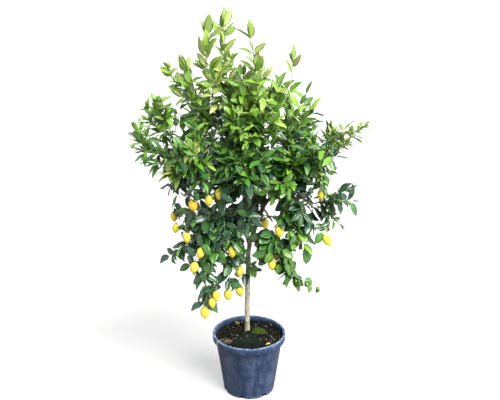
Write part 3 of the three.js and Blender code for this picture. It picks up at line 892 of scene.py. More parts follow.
class FruitSettings(bpy.types.PropertyGroup):
    """Sizes and colours of the lemons."""

    peel: colour_setting("Peel", "Colour of the ripe peel", 232, 216, 74)
    deep: colour_setting("Deep peel", "Colour of the ripest places", 236, 190, 44)
    unripe: colour_setting("Unripe", "Colour of the greener places", 168, 178, 60)
    stalk: length_setting("Stalk", "Radius of the fruit's stalk", 0.0018)
    lumps: length_setting("Lumps", "Height of the peel's unevenness", 0.0006)


class StageSettings(bpy.types.PropertyGroup):
    """The floor, the lights and the camera's lens."""

    floor: colour_setting("Floor", "Colour of the floor", 244, 244, 244)
    sky: bpy.props.FloatProperty(
        name="Sky", description="Strength of the light from all sides", default=0.40, min=0.0)
    key: bpy.props.FloatProperty(
        name="Key light", description="Strength of the soft light from the upper right",
        default=8.0, min=0.0)
    lens: bpy.props.FloatProperty(
        name="Lens", description="Focal length in millimetres", default=56.16, min=10.0)


SETTINGS = {
    "lemon_pot": PotSettings,
    "lemon_soil": SoilSettings,
    "lemon_wood": WoodSettings,
    "lemon_leaf": LeafSettings,
    "lemon_fruit": FruitSettings,
    "lemon_stage": StageSettings,
}


# ------------------------------------------------------------------ materials


def plastic_material(settings):
    """Blue moulded plastic: upright dusty streaks, a worn lip on the rim that also carries a
    painted highlight, painted highlight dashes on the skirt, dust low on the wall, and a fine
    grain."""
    material, nodes, shader = new_material("Blue plastic")
    shader.inputs["Specular IOR Level"].default_value = 0.28
    place = nodes.place()
    height = nodes.add("ShaderNodeSeparateXYZ", Vector=place).outputs[2]
    streaks = nodes.mottle(nodes.place((1.0, 1.0, 0.09)), 22.0, 0.3)
    patches = nodes.mottle(place, 16.0, 0.45)
    worn = nodes.mottle(place, 70.0, 0.75)
    rim = nodes.span(height, 0.3368, 0.3396)
    shelf = nodes.math("MULTIPLY", nodes.span(height, 0.024, 0.0, 0.0, 0.5), worn)
    light = nodes.math("MULTIPLY", streaks, nodes.math("MULTIPLY_ADD", patches, 0.20, 0.04))
    # Painted highlights: short bright dashes on the skirt's band, standing in for light caught by
    # ribs under the rim.
    painted_highlight_dashes = nodes.mottle(nodes.place((1.0, 1.0, 0.2)), 105.0, 0.85)
    skirt_painted_highlights = nodes.math("MULTIPLY", nodes.span(height, 0.318, 0.335), painted_highlight_dashes)
    # The rim's top takes the pale colour in worn patches: partly wear, partly a painted highlight
    # along the lip.
    lip_wear_and_highlight = nodes.math("MULTIPLY", rim, nodes.math("MULTIPLY_ADD", worn, 1.4, -0.34, clamp=True))
    rim_wear_and_highlight = nodes.math("MULTIPLY_ADD", skirt_painted_highlights, 0.26, lip_wear_and_highlight, clamp=True)
    share = nodes.math("ADD", nodes.math("ADD", light, rim_wear_and_highlight), shelf, clamp=True)
    dark = toned(settings.plastic, 0.66)
    base = nodes.mix(nodes.math("MULTIPLY", patches, 0.6), settings.plastic, dark)
    colour = nodes.mix(share, base, settings.dust_wear_and_highlight)
    grain = nodes.grain(place, 420.0, 0.3)
    dress(nodes, shader, colour, (share, 0.42, 0.66), grain, 0.0004, 0.35)
    return material


def soil_material(settings):
    """Damp humus with paler fibres. The tone's first number picks the fibre's colour."""
    material, nodes, shader = new_material("Potting soil")
    shader.inputs["Specular IOR Level"].default_value = 0.05
    place = nodes.place()
    pale = nodes.tones()[0]
    specks = nodes.mottle(place, 190.0, 0.8)
    patches = nodes.mottle(place, 28.0, 0.3)
    share = nodes.math("MULTIPLY_ADD", nodes.math("MULTIPLY", specks, patches), 0.07, pale,
                       clamp=True)
    colour = nodes.mix(share, settings.humus, settings.fibre)
    grain = nodes.grain(place, 520.0, 0.8)
    dress(nodes, shader, colour, (patches, 0.95, 0.8), grain, 0.0012)
    return material


def moss_material(name, colour, tips):
    """Moss: its colour broken up by darker hollows and by shoot tips that are lighter by tips.
    The tone's first number is 1 at the tips."""
    material, nodes, shader = new_material(name)
    shader.inputs["Specular IOR Level"].default_value = 0.15
    place = nodes.place()
    tip = nodes.tones()[0]
    patches = nodes.mottle(place, 90.0, 0.6)
    hollow = toned(colour, 0.3)
    light = tuple(min(1.0, tips * part) for part in colour[:3])
    base = nodes.mix(patches, hollow, colour)
    colour = nodes.mix(tip, base, light)
    grain = nodes.grain(place, 600.0, 0.6)
    dress(nodes, shader, colour, (patches, 0.95, 0.75), grain, 0.001)
    return material


def bark_material(settings):
    """Bark: pale with long streaks low down, browner in the crown. The tone's first number is
    how far into the crown a place is, and its second marks hollows."""
    material, nodes, shader = new_material("Bark")
    place = nodes.place()
    long_place = nodes.place(BARK_STRETCH)
    inner, hollow = nodes.tones()[0:2]
    streaks = nodes.mottle(long_place, 150.0, 0.55)
    patches = nodes.mottle(place, 30.0, 0.5)
    spots = nodes.math("MULTIPLY_ADD", patches, 0.26, nodes.math("MULTIPLY", hollow, 0.35))
    dark = nodes.math("MULTIPLY_ADD", streaks, 0.62, spots, clamp=True)
    low = nodes.mix(dark, settings.bark, settings.crevice)
    high = nodes.mix(dark, settings.limb, toned(settings.crevice, 0.3))
    colour = nodes.mix(inner, low, high)
    grain = nodes.grain(long_place, 420.0, 0.5)
    dress(nodes, shader, colour, (patches, 0.9, 0.72), grain, 0.0008)
    return material


def twig_material(settings):
    """Twigs: brown-grey where they are old, green where they are young. The tone's first
    number is the twig's youth."""
    material, nodes, shader = new_material("Twig bark")
    long_place = nodes.place((1.0, 1.0, 0.4))
    youth = nodes.tones()[0]
    streaks = nodes.mottle(long_place, 260.0, 0.5)
    old = nodes.mix(streaks, settings.limb, settings.crevice)
    green = nodes.mix(nodes.math("MULTIPLY", streaks, 0.35), settings.green_twig,
                      settings.bark)
    colour = nodes.mix(youth, old, green)
    grain = nodes.grain(long_place, 500.0, 0.3)
    dress(nodes, shader, colour, (streaks, 0.55, 0.75), grain, 0.0004)
    return material


def leaf_material(settings):
    """Leaves: the tone's numbers are the leaf's youth, which also carries painted light and
    shade, its own shade and 1 on its underside. The midrib and side veins are paler and raised,
    and mature leaves are glossier."""
    material, nodes, shader = new_material("Lemon leaf")
    youth, shade, under = nodes.tones()[0:3]
    ribs = nodes.ribs(13.0)
    place = nodes.place()
    patches = nodes.mottle(place, 55.0, 0.2)
    # The youth tone also carries painted light and shade from the branches' habits and the inner
    # shoots.
    varied = nodes.math("MULTIPLY_ADD", nodes.math("SUBTRACT", patches, 0.5), 0.14, youth,
                        clamp=True)
    grown = nodes.mix(nodes.span(varied, 0.05, 0.42), settings.mature,
                      settings.grown)
    fresh = nodes.mix(nodes.span(varied, 0.38, 0.74), grown, settings.fresh)
    top = nodes.mix(nodes.span(varied, 0.74, 1.0), fresh, settings.young)
    dull = nodes.mix(0.62, top, (0.02, 0.04, 0.012))
    tint = nodes.mix(nodes.math("MULTIPLY", shade, 0.9), top, dull)
    pale = nodes.mix(0.5, tint, settings.under)
    face = nodes.mix(nodes.math("MULTIPLY", under, 0.75), tint, pale)
    lines = nodes.math("MULTIPLY_ADD", ribs["Midrib"], 0.20,
                       nodes.math("MULTIPLY", ribs["Vein"], 0.08), clamp=True)
    light = nodes.mix(0.5, face, (0.50, 0.62, 0.22, 1.0))
    nodes.put(shader.inputs["Base Color"], nodes.mix(lines, face, light))
    rough = nodes.math("MULTIPLY_ADD", varied, 0.24, nodes.math("MULTIPLY_ADD", under, 0.2, 0.20))
    nodes.put(shader.inputs["Roughness"], rough)
    shader.inputs["Specular IOR Level"].default_value = 0.75
    raised = nodes.math("MULTIPLY_ADD", ribs["Midrib"], -0.6,
                        nodes.math("MULTIPLY", ribs["Vein"], -0.35))
    blister = nodes.noise(place, 120.0, 2.0)
    bump(nodes, shader, nodes.math("MULTIPLY_ADD", blister, 0.6, raised), 0.0012, 0.5)
    return material


def dry_leaf_material(colour):
    """A fallen leaf: straw yellow with browner patches and dark ribs."""
    material, nodes, shader = new_material("Dry leaf")
    ribs = nodes.ribs(9.0)
    patches = nodes.mottle(nodes.place(), 120.0, 0.4)
    brown = tuple(part * share for part, share in zip(colour, (0.42, 0.30, 0.22)))
    base = nodes.mix(nodes.math("MULTIPLY", patches, 0.55), colour, brown)
    lines = nodes.math("MULTIPLY_ADD", ribs["Midrib"], 0.5,
                       nodes.math("MULTIPLY", ribs["Vein"], 0.25), clamp=True)
    dress(nodes, shader, nodes.mix(lines, base, brown), (patches, 0.6, 0.85), lines, 0.0008)
    return material


def straw_material(colour):
    """Dry straw: pale with lengthwise darker fibres."""
    material, nodes, shader = new_material("Dry straw")
    streaks = nodes.mottle(nodes.place(), 210.0, 0.5)
    brown = toned(colour, 0.45)
    nodes.put(shader.inputs["Base Color"],
              nodes.mix(nodes.math("MULTIPLY", streaks, 0.6), colour, brown))
    nodes.put(shader.inputs["Roughness"], nodes.span(streaks, 0.0, 1.0, 0.6, 0.8))
    return material


def peel_material(settings):
    """Lemon peel: waxy yellow with fine oil glands. The tone's first number is how unripe a
    place is, and its second how deep its yellow is."""
    material, nodes, shader = new_material("Lemon peel")
    place = nodes.place()
    unripe, deep = nodes.tones()[0:2]
    patches = nodes.mottle(place, 45.0, 0.2)
    base = nodes.mix(nodes.math("MULTIPLY_ADD", patches, 0.14, deep, clamp=True),
                     settings.peel, settings.deep)
    colour = nodes.mix(unripe, base, settings.unripe)
    grain = nodes.grain(place, 560.0, 1.0)
    dress(nodes, shader, colour, (patches, 0.34, 0.46), grain, 0.0007, 0.5)
    return material


# ------------------------------------------------------------------ pot


POT_FLAT = 0.0015            # height of the pot's underside
NOTCH_FLOOR = 0.004          # height of the pot's inner floor, where the notches end
NOTCH_HALF_WIDTH = 0.0165
NOTCH_SPRING = 0.006         # height where a notch's arch starts
NOTCH_ARCH = 0.014           # height of the arch over its start
POT_AROUND = 168             # corners in a ring of the wall
GUSSET_HALF_THICKNESS = 0.0011
GUSSET_TURN = 0.05           # radians from the X axis to the first gusset


def pot_profile(wall):
    """The pot's outline from the middle of its underside, up its outside, over the rim and
    down its inside. Its sizes are read from the frame's pot: the foot, the neck where the
    skirt ends, the rim and the mouth."""
    corners, _ = node_shape("pot")
    radius, height = np.hypot(corners[:, 0], corners[:, 1]), corners[:, 2]
    top, rim = height.max(), radius.max()
    foot = radius[height < 0.001].max()
    skirt = np.unique(np.round(height[height > 0.5 * top], 4))[0]
    at_skirt = np.unique(np.round(radius[np.abs(height - skirt) < 0.0005], 3))
    neck = at_skirt[at_skirt < rim - 0.015].max()
    mouth = np.unique(np.round(radius[height > top - 0.0005], 4)).min()
    under = top - wall
    points = [
        (0.0, POT_FLAT), (foot - 0.012, POT_FLAT), (foot - 0.010, 0.0), (foot, 0.0),
        (neck, skirt), (mouth + 0.5 * wall, under), (rim - 0.0042, under),
        (rim - 0.0048, skirt), (rim - 0.0010, skirt), (rim, top),
        (mouth, top), (neck - wall, skirt), (foot - 0.9 * wall, wall), (0.0, wall),
    ]
    radii = [0.0, 0.001, 0.001, 0.003, 0.0, 0.002, 0.002,
             0.0007, 0.0007, 0.0038, 0.0045, 0.012, 0.003, 0.0]
    return refined(rounded(points, radii), 0.006), neck, skirt, foot


def notch_cutter(angle, foot):
    """A block with an arched top that cuts one drainage notch into the pot's foot."""
    share = np.linspace(0.0, np.pi, 12)
    rise = NOTCH_SPRING + NOTCH_ARCH * np.sin(share) ** 0.6
    arch = np.stack([NOTCH_HALF_WIDTH * np.cos(share), rise], -1)
    outline = np.concatenate([[[NOTCH_HALF_WIDTH, -0.01]], arch, [[-NOTCH_HALF_WIDTH, -0.01]]])
    depth = np.array([-foot - 0.012, -foot + 0.011])
    count = len(outline)
    grid = np.zeros((2, count, 3))
    grid[:, :, 0] = outline[:, 0]
    grid[:, :, 1] = depth[:, None]
    grid[:, :, 2] = outline[:, 1]
    cos, sin = np.cos(angle), np.sin(angle)
    turn = np.array([[cos, sin, 0.0], [-sin, cos, 0.0], [0.0, 0.0, 1.0]])
    corners = grid.reshape(-1, 3) @ turn
    ring = np.arange(count)
    after = (ring + 1) % count
    sides = np.stack([count + ring, count + after, after, ring], -1)
    caps = np.stack([ring, count + ring[::-1]])
    return make_mesh("notch", corners, [sides, caps], smooth=False)


def notch_angles():
    """The angles of the drainage notches about Z, from the front. The frame's pot has two
    corners at the inner end of each notch, on both sides of its middle, so the notches'
    common turn is the phase of those corners' angles times the number of notches."""
    corners, _ = node_shape("pot")
    radius = np.hypot(corners[:, 0], corners[:, 1])
    foot = radius[corners[:, 2] < 0.001].max()
    floor = np.abs(corners[:, 2] - NOTCH_FLOOR) < 0.5 * NOTCH_FLOOR
    inner = floor & (radius < foot - 0.008) & (radius > 0.1)
    angles = np.arctan2(corners[inner, 0], -corners[inner, 1])
    count = len(angles) // 2
    first = np.angle(np.exp(1j * count * angles).sum()) / count
    return first + turn_angles(count)


def build_pot(settings):
    """The pot: a turned wall with faint flutes, notches cut into its foot, and gussets under
    its rim."""
    profile, neck, skirt, foot = pot_profile(settings.wall)

    def flutes(grid):
        """Moves the wall in and out by two cosine waves round it and by noise, between its
        foot and its skirt."""
        angle = np.arctan2(grid[..., 1], grid[..., 0])
        radius = np.hypot(grid[..., 0], grid[..., 1])
        height = grid[..., 2]
        wall = ease(height, 0.02, 0.06) * (1.0 - ease(height, skirt - 0.03, skirt - 0.005))
        wave = 0.6 * np.cos(26.0 * angle) + 0.4 * np.cos(9.0 * angle + 1.0)
        uneven = soft_noise(grid.reshape(-1, 3), 0.06, 3).reshape(height.shape)
        change = (settings.flute * wave * wall + 0.0006 * uneven) / np.maximum(radius, 0.05)
        change = change * (radius > 0.06)
        return grid * np.stack([1.0 + change, 1.0 + change, np.ones_like(change)], -1)

    corners, faces = turned_surface(profile[:, 0], profile[:, 1], POT_AROUND, flutes)
    piece = new_object("pot_shell", make_mesh("pot_shell", corners, faces))
    cutters = [new_object("notch", notch_cutter(angle, foot)) for angle in notch_angles()]
    for cutter in cutters:
        cut = piece.modifiers.new("Notch", "BOOLEAN")
        cut.operation = "DIFFERENCE"
        cut.object = cutter
    applied(piece)
    for cutter in cutters:
        bpy.data.objects.remove(cutter)
    material = plastic_material(settings)
    finish_piece(piece, material, "pot")
    if settings.gussets:
        add_piece("pot_gussets", gusset_mesh(settings, neck, skirt), material, "pot")


def gusset_mesh(settings, neck, skirt):
    """Thin upright plates between the wall and the skirt: each is a box whose outer edge is
    the skirt and whose inner edge follows the wall."""
    rim, _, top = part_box("pot")[1]
    low = skirt + 0.006
    inner, outer, high = neck - 0.001, rim - 0.003, top - 0.003
    plate = np.array([[inner, low], [outer, low], [outer, high], [inner + 0.009, high]])
    angles = turn_angles(settings.gussets) + GUSSET_TURN
    thick = np.array([-GUSSET_HALF_THICKNESS, GUSSET_HALF_THICKNESS])[None, :, None, None]
    radial = np.stack([np.cos(angles), np.sin(angles)], -1)[:, None, None]
    side = np.stack([-np.sin(angles), np.cos(angles)], -1)[:, None, None]
    flat = plate[None, None, :, 0, None] * radial + thick * side
    height = np.broadcast_to(plate[None, None, :, 1, None], flat.shape[:3] + (1,))
    corners = np.concatenate([flat, height], -1).reshape(-1, 3)
    box = np.array([[0, 1, 2, 3], [7, 6, 5, 4], [0, 4, 5, 1],
                    [1, 5, 6, 2], [2, 6, 7, 3], [3, 7, 4, 0]])
    faces = repeated([box], settings.gussets, 8)
    return make_mesh("pot_gussets", corners, faces, smooth=False)


# ------------------------------------------------------------------ soil, moss and litter


def soil_sizes():
    """The radius of the soil's top, and the heights of its edge and its crown."""
    corners, _ = node_shape("potting_soil")
    radius = np.hypot(corners[:, 0], corners[:, 1])
    edge = radius > radius.max() - 0.0005
    return radius.max(), corners[edge, 2].mean(), corners[:, 2].max()


SOIL_RADIUS, SOIL_EDGE, SOIL_CROWN = soil_sizes()
SOIL_AROUND = 200            # corners in a ring of the soil
SOIL_TOP_RINGS = 83          # rings from the soil's edge to its middle
SOIL_SIDE_RINGS = 8          # rings from its foot to its edge
PALE_CRUMBS = 0.11           # share of the crumbs that are paler than the soil
LITTER_RELIEF = 0.0045       # relief of the soil as the litter lies on it
MOSS_AROUND = 60             # corners in a ring of a moss cushion
STRAW_POINTS = 28            # points along a blade of straw
SHORT_STRAWS = 17


def soil_mound(x, y):
    """Height of the plain mound: half a cosine wave from its crown to its edge."""
    share = np.minimum(np.hypot(x, y) / SOIL_RADIUS, 1.0)
    return SOIL_EDGE + (SOIL_CROWN - SOIL_EDGE) * (1.0 + np.cos(np.pi * share)) / 2.0


def soil_relief(x, y, relief):
    """Height of the soil's surface: the mound plus noise at three sizes."""
    place = np.stack([x, y, np.zeros_like(x)], -1).reshape(-1, 3)
    rough = (soft_noise(place, 0.034, 5) + 0.55 * soft_noise(place, 0.013, 6)
             + 0.38 * soft_noise(place, 0.0058, 7)).reshape(x.shape)
    return soil_mound(x, y) + relief * 0.7 * rough


def lump_surface(rng, middles, sizes, flat=0.7):
    """Small uneven lumps: a sphere of three rings of six corners and two poles, each corner
    moved in or out at random, and flattened."""
    tilt = np.linspace(0.0, np.pi, 5)
    corners, faces = turned_surface(np.sin(tilt), -np.cos(tilt), 6)
    count = len(middles)
    stretch = rng.uniform(0.6, 1.35, (count, 1, 3)) * np.array([1.0, 1.0, flat])
    bumpy = rng.uniform(0.72, 1.2, (count, len(corners), 1))
    turn = rng.uniform(0.0, 2.0 * np.pi, count)
    shape = corners[None] * stretch * bumpy * sizes[:, None, None]
    cos, sin = np.cos(turn)[:, None], np.sin(turn)[:, None]
    x = shape[..., 0] * cos - shape[..., 1] * sin
    y = shape[..., 0] * sin + shape[..., 1] * cos
    placed = np.stack([x, y, shape[..., 2]], -1) + middles[:, None]
    return placed.reshape(-1, 3), repeated(faces, count, len(corners)), len(corners)


def build_soil(settings):
    """The soil: a turned body whose top is the mound with its relief, and loose crumbs."""
    rng = np.random.default_rng(SEEDS["soil"])
    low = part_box("potting_soil")[0][2]
    corners, _ = node_shape("potting_soil")
    foot = np.hypot(corners[:, 0], corners[:, 1])[corners[:, 2] < low + 0.001].max()
    sides = np.linspace(0.0, 1.0, SOIL_SIDE_RINGS)
    inwards = np.linspace(SOIL_RADIUS, 0.0, SOIL_TOP_RINGS + 1)[1:]
    radius = np.concatenate([[0.0], foot + (SOIL_RADIUS - foot) * sides, inwards])
    rise = low + (SOIL_EDGE - low) * sides
    height = np.concatenate([[low], rise, np.full(SOIL_TOP_RINGS, SOIL_EDGE)])

    def relief(grid):
        """Lifts the top's corners to the soil's relief."""
        top = np.arange(len(grid)) >= SOIL_SIDE_RINGS - 1
        lifted = soil_relief(grid[..., 0], grid[..., 1], settings.relief)
        grid = grid.copy()
        grid[top, :, 2] = lifted[top]
        return grid

    corners, faces = turned_surface(radius, height, SOIL_AROUND, relief)
    corners[-1, 2] = SOIL_CROWN
    mesh = make_mesh("soil_surface", corners, faces)
    pale = np.clip(0.07 * soft_noise(corners, 0.004, 9), 0.0, 1.0)
    store_tone(mesh, pale)
    material = soil_material(settings)
    add_piece("soil_surface", mesh, material, "potting_soil")
    if settings.crumbs:
        count = settings.crumbs
        reach = SOIL_RADIUS * np.sqrt(rng.uniform(0.02, 0.96, count))
        angle = rng.uniform(0.0, 2.0 * np.pi, count)
        x, y = reach * np.cos(angle), reach * np.sin(angle)
        size = 0.0012 + 0.0034 * rng.uniform(0.0, 1.0, count) ** 3
        z = soil_relief(x, y, settings.relief) + 0.25 * size
        corners, faces, each = lump_surface(rng, np.stack([x, y, z], -1), size)
        mesh = make_mesh("soil_crumbs", corners, faces)
        some = rng.uniform(0, 1, count) < PALE_CRUMBS
        pale = np.where(some, rng.uniform(0.5, 1.9, count), 0.0)
        store_tone(mesh, np.repeat(pale, each))
        add_piece("soil_crumbs", mesh, material, "potting_soil")


def moss_mesh(name, rng, tufts, tall, spread):
    """A moss cushion: a low dome over its frame node's box with uneven lumps, and tufts, each
    a three-sided spike that leans at random. spread says how far its ragged edge runs past
    the node's."""
    low, high = (np.array(corner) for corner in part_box(name))
    middle, half = (low + high) / 2.0, spread * (high - low) / 2.0
    crown = high[2] - 0.001
    share = np.linspace(0.0, 1.0, 26)
    radius = np.concatenate([[0.0], 1.0 - share])
    radius[-1] = 0.0
    height = np.zeros_like(radius)

    def dome(grid):
        """Carries a unit disc to the cushion: its edge is ragged by two cosine waves, and it
        rises over the mound by one less the cube of the distance from its middle, to the
        power 0.7, with two sizes of noise on it."""
        out = np.hypot(grid[..., 0], grid[..., 1])
        angle = np.arctan2(grid[..., 1], grid[..., 0])
        ragged = 1.0 + 0.13 * np.cos(3 * angle + 1.0) + 0.09 * np.cos(7 * angle)
        x = middle[0] + half[0] * grid[..., 0] * ragged
        y = middle[1] + half[1] * grid[..., 1] * ragged
        ground = soil_mound(x, y)
        rise = (crown - ground) * np.clip(1.0 - out ** 3.0, 0.0, 1.0) ** 0.7
        place = np.stack([x, y, 0 * x], -1).reshape(-1, 3)
        lump = soft_noise(place, 0.011, 21) + 0.6 * soft_noise(place, 0.0048, 22)
        z = ground - 0.002 + rise + 0.0050 * lump.reshape(x.shape)
        return np.stack([x, y, z], -1)

    corners, faces = turned_surface(radius, height, MOSS_AROUND, dome)
    corners[-1] = [middle[0], middle[1], crown]
    corners[-2] = [middle[0], middle[1], low[2] - 0.004]
    top = corners[:-2].reshape(-1, MOSS_AROUND, 3)
    row = rng.integers(1, len(top), tufts)
    column = rng.integers(0, MOSS_AROUND, tufts)
    foot = top[row, column] - UP * 0.001
    foot = foot + rng.normal(0.0, 0.0012, (tufts, 3)) * LEVEL
    lean = unit(UP + rng.normal(0.0, 0.45, (tufts, 3)))
    turn = rng.uniform(0.0, 2.0 * np.pi, tufts)[:, None] + np.arange(3) * 2.0 * np.pi / 3.0
    wide = rng.uniform(0.0005, 0.0011, tufts)[:, None, None]
    ring = foot[:, None] + wide * np.stack([np.cos(turn), np.sin(turn), 0 * turn], -1)
    tip = foot + lean * rng.uniform(0.5, 1.0, tufts)[:, None] * tall
    spikes = np.concatenate([ring, tip[:, None]], 1).reshape(-1, 3)
    pattern = np.array([[0, 1, 3], [1, 2, 3], [2, 0, 3], [2, 1, 0]])
    faces = faces + repeated([pattern + len(corners)], tufts, 4)
    mesh = make_mesh(name + "_tufts", np.concatenate([corners, spikes]), faces)
    tip_tone = np.tile([0.0, 0.0, 0.0, 0.8], tufts) * np.repeat(rng.uniform(0.2, 1.0, tufts), 4)
    tone = np.concatenate([np.zeros(len(corners)), tip_tone])
    store_tone(mesh, tone)
    return mesh


def build_moss(settings):
    """The bright cushion and the dark clump."""
    rng = np.random.default_rng(SEEDS["moss"])
    bright = moss_material("Bright moss", settings.moss, 2.8)
    dark = moss_material("Dark moss", settings.dark_moss, 12.0)
    mesh = moss_mesh("moss_cushion", rng, 1800, 0.0075, 1.1)
    add_piece("moss_tufts", mesh, bright, "moss_cushion")
    mesh = moss_mesh("dark_moss", rng, 4200, 0.0105, 1.15)
    add_piece("dark_moss_tufts", mesh, dark, "dark_moss")


def build_litter(settings):
    """Fallen leaves, and dry straw that hangs over the rim."""
    rng = np.random.default_rng(SEEDS["litter"])
    dry = dry_leaf_material(settings.dry_leaf[:3])
    for name in named_nodes("leaf_front", "leaf_back"):
        corners, _ = node_shape(name)
        apart = np.linalg.norm(corners[:, None] - corners[None], axis=-1)
        one, other = np.unravel_index(np.argmax(apart), apart.shape)
        along = unit(corners[other] - corners[one])
        base = corners[one] + UP * 0.001
        angle = rng.uniform(0.0, 2.0 * np.pi, 2)
        near = base + np.stack([np.cos(angle), np.sin(angle), 0 * angle], -1) * 0.028
        near[:, 2] = soil_relief(near[:, 0], near[:, 1], LITTER_RELIEF) + 0.0015
        bases = np.concatenate([[base], near])
        heading = rng.uniform(0.0, 2.0 * np.pi, 2)
        ways = np.stack([np.cos(heading), np.sin(heading), 0.1 + 0 * heading], -1)
        ways = unit(np.concatenate([[along], ways]))
        leaves = leaves_at(rng, bases, ways, np.array([apart.max(), 0.013, 0.011]), hang=0.0)
        leaves["along"] = ways
        leaves["up"] = square_to(ways, UP + rng.normal(0.0, 0.2, ways.shape))
        leaves["fold"] = rng.uniform(0.3, 0.9, 3)
        leaves["wave"] = rng.uniform(0.2, 0.5, 3)
        add_piece(name + "_blade", leaf_mesh(name + "_blade", leaves), dry, name)
    material = straw_material(settings.straw)
    add_piece("straw_blades", straw_mesh(rng), material, "dry_straw")


def straw_mesh(rng):
    """Blades of straw: the longest follows the frame's, ring by ring, and shorter ones lie
    across the soil where it starts. Each is a flattened stem."""
    corners, triangles = node_shape("dry_straw")
    edges = edges_of(triangles)
    start = int(np.argmin(np.hypot(corners[:, 0], corners[:, 1])))
    level = distance_along(corners, edges, start, even=True).astype(int)
    count = np.bincount(level)
    rings = np.stack([np.bincount(level, corners[:, k]) / count for k in range(3)], -1)
    main = smooth_path(rings, STRAW_POINTS)
    near = main[3]
    paths = [main]
    for _ in range(SHORT_STRAWS):
        middle = near + rng.normal(0.0, 0.019, 3) * np.array([1.0, 0.8, 0.0])
        heading = rng.uniform(0.0, np.pi)
        way = np.array([np.cos(heading), np.sin(heading), 0.0]) * rng.uniform(0.006, 0.032)
        points = np.stack([middle - way, middle + UP * 0.004, middle + way])
        reach = np.linalg.norm(points[:, :2], axis=1)
        points[:, :2] *= np.minimum(1.0, 0.165 / reach)[:, None]
        lift = np.array([0.002, rng.uniform(0.003, 0.012), 0.002])
        points[:, 2] = soil_relief(points[:, 0], points[:, 1], LITTER_RELIEF) + lift
        paths.append(smooth_path(points, STRAW_POINTS))
    paths = np.array(paths)
    width = rng.uniform(0.0004, 0.0012, len(paths))
    width[0] = 0.0014
    taper = np.sin(np.pi * np.linspace(0.06, 0.97, STRAW_POINTS)) ** 0.35
    corners, faces = stem_surface(paths, width[:, None] * taper, 8, flat=0.4)
    return make_mesh("straw_blades", corners, faces)


# ------------------------------------------------------------------ wood


SCARS = 9                    # old pruning scars on the bare trunk
SCARRED = (0.38, 1.0)        # heights between which they lie
CROWN_BARK = (0.74, 0.98)    # heights between which the bark turns browner


def build_trunk(settings):
    """The trunk and limbs: the frame's own, remeshed finely, smoothed, and given a bark relief
    of long ridges, slow swellings and a few old pruning scars."""
    piece = new_object("trunk_bark", make_mesh("trunk_bark", TRUNK_CORNERS, [TRUNK_TRIANGLES]))
    remesh = piece.modifiers.new("Cells", "REMESH")
    remesh.mode = "VOXEL"
    remesh.voxel_size = settings.voxel
    remesh.use_smooth_shade = True
    soften = piece.modifiers.new("Soften", "SMOOTH")
    soften.iterations = 6
    mesh = applied(piece)
    count = len(mesh.vertices)
    corners = np.empty(3 * count, dtype=np.float32)
    normals = np.empty(3 * count, dtype=np.float32)
    mesh.vertices.foreach_get("co", corners)
    mesh.vertices.foreach_get("normal", normals)
    corners, normals = corners.reshape(-1, 3).astype(float), normals.reshape(-1, 3)
    long_place = corners * np.array(BARK_STRETCH)
    ridges = soft_noise(long_place, 0.0042, 31) + 0.5 * soft_noise(long_place, 0.0021, 32)
    swell = soft_noise(corners, 0.045, 33)
    low = 1.0 - ease(corners[:, 2], 0.85, 1.1)
    change = settings.relief * (0.35 + 0.65 * low) * ridges * 0.5 + 0.0009 * swell
    rng = np.random.default_rng(SEEDS["trunk"])
    bare = np.flatnonzero((corners[:, 2] > SCARRED[0]) & (corners[:, 2] < SCARRED[1]))
    for middle in corners[rng.choice(bare, SCARS, replace=False)]:
        away = np.linalg.norm(corners - middle, axis=1)
        knob, dimple = np.exp(-(away / 0.007) ** 2), np.exp(-(away / 0.003) ** 2)
        change = change + 0.0026 * knob - 0.0018 * dimple
    corners = corners + normals * change[:, None]
    mesh.vertices.foreach_set("co", corners.astype(np.float32).ravel())
    mesh.update()
    inner = ease(corners[:, 2], *CROWN_BARK)
    hollow = np.clip(0.5 - 0.5 * ridges, 0.0, 1.0)
    store_tone(mesh, np.stack([inner, hollow, inner], -1))
    finish_piece(piece, bark_material(settings), "trunk")


FRUIT_GAP = 0.010            # least distance from a leaf to a lemon
FACE_GAP = 0.014             # the same for a leaf that hangs before it
BACK_HALF = 0.12             # a lemon further back is looked at from behind
LOWEST_LEAF = 0.42           # height that no leaf's tip goes below
FORK_TOP = 1.08              # leaves lower than this could hide the trunk or its fork
TRUNK_GAP = 0.02


def clear_of_fruit(leaves):
    """True for the leaves that neither touch a lemon nor hang over its face. A lemon's stalk
    end may be covered, as it is in life."""
    middle, tip = point_on(leaves, LEAF_MIDDLE), point_on(leaves, 0.95)
    free = np.ones(len(middle), dtype=bool)
    for _, top, bottom, radius in LEMONS.values():
        centre, axis = (top + bottom) / 2.0, unit(top - bottom)
        half = np.linalg.norm(top - bottom) / 2.0
        view = FRONT if centre[1] < BACK_HALF else BACK
        for point in (middle, tip):
            off = point - centre
            along = off @ axis
            away = np.linalg.norm(off - along[:, None] * axis, axis=1)
            off_side, off_end = away / (radius + FRUIT_GAP), along / (half + FRUIT_GAP)
            free &= off_side ** 2 + off_end ** 2 > 1.0
            before = off @ view
            beside = off - before[:, None] * view
            level = beside @ axis
            apart = np.linalg.norm(beside - level[:, None] * axis, axis=1)
            hides = (before > 0.0) & (apart < radius + FACE_GAP)
            free &= ~(hides & (level < 0.25 * half) & (level > -1.3 * half))
    return free


def within_frame(leaves):
    """True for the leaves whose ends stay inside the frame's box and off the pot."""
    tip = point_on(leaves, 1.0)
    inside = ((tip > CAD_LOW - 0.002) & (tip < CAD_HIGH + 0.002)).all(1)
    return inside & (tip[:, 2] > LOWEST_LEAF)


